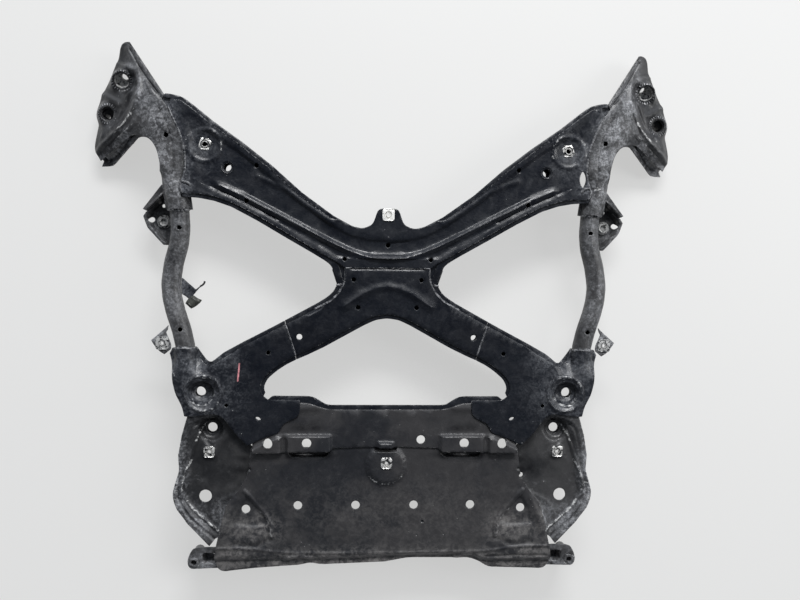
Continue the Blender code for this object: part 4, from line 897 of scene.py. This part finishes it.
def bolt_sleeve(node):
    """A horn's bolt sleeve, with a smaller threaded bore at its far end."""
    side = 1.0 if node.endswith("right") else -1.0
    slant = Vector((-side * 5.0, 4.0, 0.0)) if "upper" in node else Vector((side * 3.0, -3.0, 0.0))
    if "upper" in node:
        centre = place(side * HORN_UPPER_BOLT[0], HORN_UPPER_BOLT[1], HORN_UPPER_PAD)
        turn = Vector((-side * PAD_LEAN[0], -PAD_LEAN[1], 1.0)).to_track_quat("Z", "Y").to_matrix()
        profile = [(13.8, -28.8), (13.8, -3.3), (13.3, -2.8), (12.0, -2.8), (11.6, -3.3),
                   (11.6, -15.0), (6.2, -17.0), (6.0, -28.8)]
    else:
        centre = place(side * HORN_LOWER_BOLT[0], HORN_LOWER_BOLT[1], 0.0)
        turn = Matrix.Identity(3)
        profile = [(13.8, 0.0), (13.8, 35.7), (13.3, 36.2), (10.6, 36.2), (10.0, 35.6),
                   (10.0, 25.0), (4.4, 22.5), (3.4, 0.0)]
    bm = bmesh.new()
    loft(bm, [ring(centre + (slant * MM if radius < 7.0 else Vector()), radius, height,
                   ROUND_SIDES, 1.0, turn) for radius, height in profile])
    bmesh.ops.recalc_face_normals(bm, faces=bm.faces)
    stand_in(bm, node)


def turned(node, centre, profile):
    """A turned piece that stands for a node, from its radii and heights."""
    bm = bmesh.new()
    loft(bm, [ring(centre, radius, height, ROUND_SIDES) for radius, height in profile])
    bmesh.ops.recalc_face_normals(bm, faces=bm.faces)
    stand_in(bm, node)


def span(node, end):
    """A node's middle at its low end, 0, or high end, 1, with its half width and height."""
    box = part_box(node)
    centre = (Vector(box[0]) + Vector(box[1])) / 2
    centre.z = box[end][2]
    return centre, (box[1][0] - box[0][0]) / 2 / MM, (box[1][2] - box[0][2]) / MM


def ring_nut(node):
    """A weld nut with a low collar and a bolt's end in its bore."""
    centre, _, _ = span(node, 0)
    turned(node, centre, [(12.0, 0.0), (12.0, 2.0), (11.4, 2.6), (9.0, 3.0), (8.6, 5.2),
                          (8.0, 5.8), (5.8, 5.8), (5.0, 5.2), (4.8, 1.2), (0.2, 1.2), (0.2, 0.0)])


def cup_sleeve(node):
    """The sleeve under a cup, with a flange that narrows its bore."""
    centre, outer, tall = span(node, 1)
    bore = outer - 5.0
    profile = [(outer, -tall), (outer, -0.5), (outer - 0.5, 0.0), (bore, 0.0), (bore, -3.0),
               (SLEEVE_BORE, -3.6), (SLEEVE_BORE, -6.0), (bore, -6.4), (bore, -tall)]
    turned(node, centre, profile)


def clip_nut(node):
    """A clip nut: a square plate with a folded lip and a raised, threaded barrel."""
    centre, half, _ = span(node, 1)
    side = 1.0 if centre.x > 0 else -1.0
    tilt = Matrix.Identity(3)
    bore = 2.9
    if node.startswith("beam"):
        half, bore, tilt = 0.86 * half, 4.2, Matrix.Rotation(side * 0.35, 3, "Z")
    bm = bmesh.new()
    loft(bm, [ring(centre, half, -1.2, 32, 0.35, tilt), ring(centre, half, -0.35, 32, 0.35, tilt),
              ring(centre, half - 0.4, 0.0, 32, 0.35, tilt), ring(centre, bore + 3.4, 0.0),
              ring(centre, bore + 3.2, -2.2), ring(centre, bore + 1.4, -2.2),
              ring(centre, bore + 1.2, 0.4), ring(centre, bore + 0.2, 0.4),
              ring(centre, bore, -0.2), ring(centre, bore, -6.0), ring(centre, bore + 3.6, -6.0),
              ring(centre, bore + 4.0, -1.2)])
    for way in (-1.0, 1.0):
        middle = centre + Vector((0.0, way * (half - 1.1) * MM, 0.0))
        loft(bm, [[middle + Vector((x * half * 0.72 * MM, way * y * MM, z * MM))
                   for y, z in ((-0.7, -0.2), (0.4, 0.6), (1.2, 0.2), (1.3, -2.2), (0.4, -2.2))]
                  for x in (-1.0, -0.5, 0.5, 1.0)], False)
    bmesh.ops.recalc_face_normals(bm, faces=bm.faces)
    stand_in(bm, node)


def all_sheets():
    """The frame's pieces as one searchable surface."""
    verts, faces = [], []
    for node in frame["nodes"].values():
        start = len(verts)
        verts.extend(node.matrix_world @ vert.co for vert in node.data.vertices)
        faces.extend([start + index for index in face.vertices] for face in node.data.polygons)
    return BVHTree.FromPolygons(verts, faces)


def level(x, y):
    """How high the part stands at a plan place, in millimetres, or None beside it."""
    start = place(x, y, 300.0)
    hit = SHEETS.ray_cast(start, Vector((0.0, 0.0, -1.0)))[0]
    if hit is None:
        return None
    lift = carved(np.array([(abs(x), y)]), HORN_RELIEF)[0] if y > HORN_FOOT else 0.0
    return (hit.z + ripple(start.x, start.y)) / MM + lift


def bead(bm, points, half, height):
    """A weld bead along a plan run, laid on whatever is under it."""
    run = curve(points, 1.8)
    ways = headings(run)
    rows = []
    for index, (spot, way) in enumerate(zip(run, ways)):
        across = np.array([-way[1], way[0]])
        swell = 1.0 + (0.10 * math.sin(2.1 * index) + 0.25 * noise.noise(
            (spot[0] * 0.22, spot[1] * 0.22, half)))
        fade = min(1.0, (index + 1) / 3, (len(run) - index) / 3)
        wide = half * swell * (0.5 + 0.5 * fade)
        found = [level(*(spot + across * wide * share)) for share in (1.0, 0.0, -1.0)]
        best = max((f for f in found if f is not None), default=FACE)
        one, _, two = [max(best - 4.0, f) if f is not None else best - 1.5 for f in found]
        row = []
        for share in (1.0, 0.75, 0.4, 0.0, -0.4, -0.75, -1.0):
            base = one * (1 + share) / 2 + two * (1 - share) / 2
            rise = height * swell * fade * math.sqrt(1 - share * share) - 0.3 * abs(share)
            row.append(place(*(spot + across * wide * share), base + rise))
        rows.append(row)
    loft(bm, rows, False)


def weld_beads():
    """The beads that join the shells."""
    bm = bmesh.new()
    bead(bm, [(-75.0, 55.0), (0.0, 55.2), (75.0, 55.0)], 1.5, 0.8)
    for side, _ in SIDES:
        for run, half, height in BEADS:
            bead(bm, [(side * x, y) for x, y in run], half, height)
    added(bm, "weld_beads", "weld", BEAD_SHARP)


# Plates behind the notches: outline and the heights of their two faces
FILLERS = {
    "seam": ([(366.0, 339.0), (379.0, 320.0), (390.0, 336.0), (385.5, 347.5), (371.0, 346.0)],
             (76.0, 78.0)),
    "waist": ([(75.0, 56.0), (86.0, 63.0), (97.0, 52.0), (93.0, 40.0), (88.5, 26.5), (78.0, 26.5),
               (75.0, 40.0)], (78.5, 80.5)),
}


def seam_fillers():
    """The dark plates behind the notches where the shells meet."""
    for side, name in SIDES:
        for kind, (outline, heights) in FILLERS.items():
            bm = bmesh.new()
            loft(bm, [[place(side * x, y, z) for x, y in outline] for z in heights], False)
            bmesh.ops.bevel(bm, geom=bm.edges[:], offset=0.4 * MM, segments=1, affect="EDGES")
            added(bm, "%s_filler_%s" % (kind, name), "black_steel")


def horn_flanges():
    """The lips that close the horns' lower edges between their two shells."""
    inner = curve(FLANGE_INNER, 3.0)
    outer = curve(FLANGE_OUTER, 3.0)
    stops = np.linspace(0.0, 1.0, 24)
    for side, name in SIDES:
        bm = bmesh.new()
        rows = []
        for stop in stops:
            one = inner[round(stop * (len(inner) - 1))]
            two = outer[round(stop * (len(outer) - 1))]
            ends = [level(side * x, y) for x, y in (one, two)]
            ends = [end if end is not None else FACE - 50.0 for end in ends]
            top = [place(side * (one[0] + (two[0] - one[0]) * share),
                         one[1] + (two[1] - one[1]) * share,
                         ends[0] + (ends[1] - ends[0]) * share + rise)
                   for share, rise in ((0.0, 0.1), (0.3, 1.2), (0.55, 0.0), (0.62, -1.0),
                                       (0.7, 0.0), (1.0, 0.3))]
            rows.append(top + [spot - Vector((0.0, 0.0, 1.4 * MM)) for spot in reversed(top)])
        loft(bm, rows, False)
        added(bm, "horn_flange_" + name, "grey_steel", BEAD_SHARP)


def knurls():
    """The toothed rings that the bolts have pressed round the horns' holes."""
    for side, name in SIDES:
        for (x, y), inner, outer, part in ((HORN_UPPER_BOLT, 14.8, 18.4, "upper"),
                                           (HORN_LOWER_BOLT, 14.6, 18.2, "lower")):
            bm = bmesh.new()
            for tooth in range(TEETH):
                angle = 2 * math.pi * tooth / TEETH
                way = np.array([math.cos(angle), math.sin(angle)])
                cross = np.array([-way[1], way[0]])
                loops = []
                for radius, half in ((inner, 0.42), (outer, 0.60)):
                    middle = np.array([side * x, y]) + way * radius
                    height = level(*middle) or FACE
                    loops.append([place(*(middle + cross * share * half), height + rise)
                                  for share, rise in ((1.3, -0.4), (0.6, 1.2), (-0.6, 1.2),
                                                      (-1.3, -0.4))])
                loft(bm, loops, False)
            added(bm, "bolt_marks_%s_%s" % (part, name), "tooth_steel")


def ribbon(bm, points, half, low, high):
    """A flat strip along a run of plan points with heights, between two offsets."""
    run = curve(points, 1.5)
    ways = headings(run[:, :2])
    rows = []
    for (x, y, z), way in zip(run, ways):
        rows.append([place(x - way[1] * half * share, y + way[0] * half * share, z + rise)
                     for share, rise in ((1.0, low), (1.0, high), (-1.0, high), (-1.0, low))])
    loft(bm, rows, False)


def small_things():
    """A dark disc under the cover's smallest hole, which paints the shade seen through it, the
    harness hook with its arm, and a paint mark.
    """
    bm = bmesh.new()
    # A dark disc under the hole paints the shade seen through it.
    spot = place(*SHADE_DISC_SPOT, FACE - 12.0)
    spot.z = level(SHADE_DISC_SPOT[0] + 9.0, SHADE_DISC_SPOT[1]) * MM - 3.0 * MM
    loft(bm, [ring(spot, radius, height, 24) for radius, height in
              ((5.0, -0.8), (5.0, 0.0), (1.5, 0.5), (0.2, 0.5), (0.2, -0.8))])
    added(bm, "cover_hole_shade_disc", "black_steel")
    bm = bmesh.new()
    ribbon(bm, [(-326.0, 19.6, 63.8), (-322.0, 22.0, 64.6), (-318.6, 25.5, 66.0),
                (-317.6, 29.0, 68.0)], 1.6, -0.7, 0.7)
    added(bm, "harness_hook", "grey_steel")
    bm = bmesh.new()
    ribbon(bm, [(x, y, level(x, y) or FACE) for x, y in curve(
        [(-255.5, -112.0), (-256.8, -128.0), (-258.4, -144.0)], 2.0)], 1.3, -0.3, 0.12)
    added(bm, "paint_mark", "pink_paint")


# Stage


def make_camera():
    """The camera looks down on the part from the photograph's place."""
    turn_x, turn_y, turn_z = [math.radians(turn) for turn in CAMERA_TURNS]
    turn = (Matrix.Rotation(turn_z, 3, "Z") @ Matrix.Rotation(turn_y, 3, "Y")
            @ Matrix.Rotation(turn_x, 3, "X"))
    back = turn.transposed()
    spot = back @ Vector((-CAMERA_SIDE, 0.0, CAMERA_FAR))
    data = bpy.data.cameras.new("camera")
    data.lens = FOCAL_PIXELS * SENSOR / PICTURE_WIDTH
    data.sensor_width = SENSOR
    camera = bpy.data.objects.new("camera", data)
    bpy.context.scene.collection.objects.link(camera)
    camera.matrix_world = Matrix.Translation(spot + place(0.0, 0.0, FACE)) @ back.to_4x4()
    bpy.context.scene.camera = camera


def area_light(name, spot, target, size, power):
    """One soft lamp."""
    data = bpy.data.lights.new(name, "AREA")
    data.shape = "RECTANGLE"
    data.size, data.size_y = size
    data.energy = power
    lamp = bpy.data.objects.new(name, data)
    lamp.location = spot
    lamp.rotation_euler = (Vector(target) - Vector(spot)).to_track_quat("-Z", "Y").to_euler()
    bpy.context.scene.collection.objects.link(lamp)


def make_room():
    """Daylight from the horns' side; the room above the part is dim, so its blacks stay deep."""
    world = bpy.data.worlds.new("room")
    world.use_nodes = True
    nodes, links = world.node_tree.nodes, world.node_tree.links
    way = nodes.new("ShaderNodeSeparateXYZ")
    links.new(nodes.new("ShaderNodeTexCoord").outputs["Generated"], way.inputs[0])
    parts = []
    for axis, low, high, dim, bright in (("Y", 0.05, 0.85, ROOM_DIM, ROOM_BRIGHT),
                                         ("Z", 0.02, 0.30, ROOM_EDGE, ROOM_DIM)):
        side = nodes.new("ShaderNodeMapRange")
        side.interpolation_type = "SMOOTHSTEP"
        links.new(way.outputs[axis], side.inputs["Value"])
        for name, value in (("From Min", low), ("From Max", high), ("To Min", dim),
                            ("To Max", bright)):
            side.inputs[name].default_value = value
        parts.append(side.outputs["Result"])
    side = nodes.new("ShaderNodeMath")
    side.operation = "MAXIMUM"
    links.new(parts[0], side.inputs[0])
    links.new(parts[1], side.inputs[1])
    back = nodes["Background"]
    back.inputs["Color"].default_value = ROOM_COLOUR
    links.new(side.outputs[0], back.inputs["Strength"])
    bpy.context.scene.world = world


def make_stage():
    """A pale floor and soft studio light, stronger from the horns' side."""
    bm = bmesh.new()
    bmesh.ops.create_grid(bm, x_segments=2, y_segments=2, size=FLOOR_SIZE)
    mesh = bpy.data.meshes.new("floor")
    bm.to_mesh(mesh)
    bm.free()
    mesh.materials.append(studio_floor("pale_floor"))
    floor = bpy.data.objects.new("floor", mesh)
    floor.location = (0.0, 0.0, cad_low.z - FLOOR_GAP)
    bpy.context.scene.collection.objects.link(floor)
    area_light("key", *KEY_LAMP)
    area_light("fill", *FILL_LAMP)
    make_room()
    bpy.context.scene.view_settings.view_transform = "Standard"


SHEETS = all_sheets()
make_camera()
make_stage()
dress_nodes()
weld_beads()
seam_fillers()
horn_flanges()
knurls()
small_things()
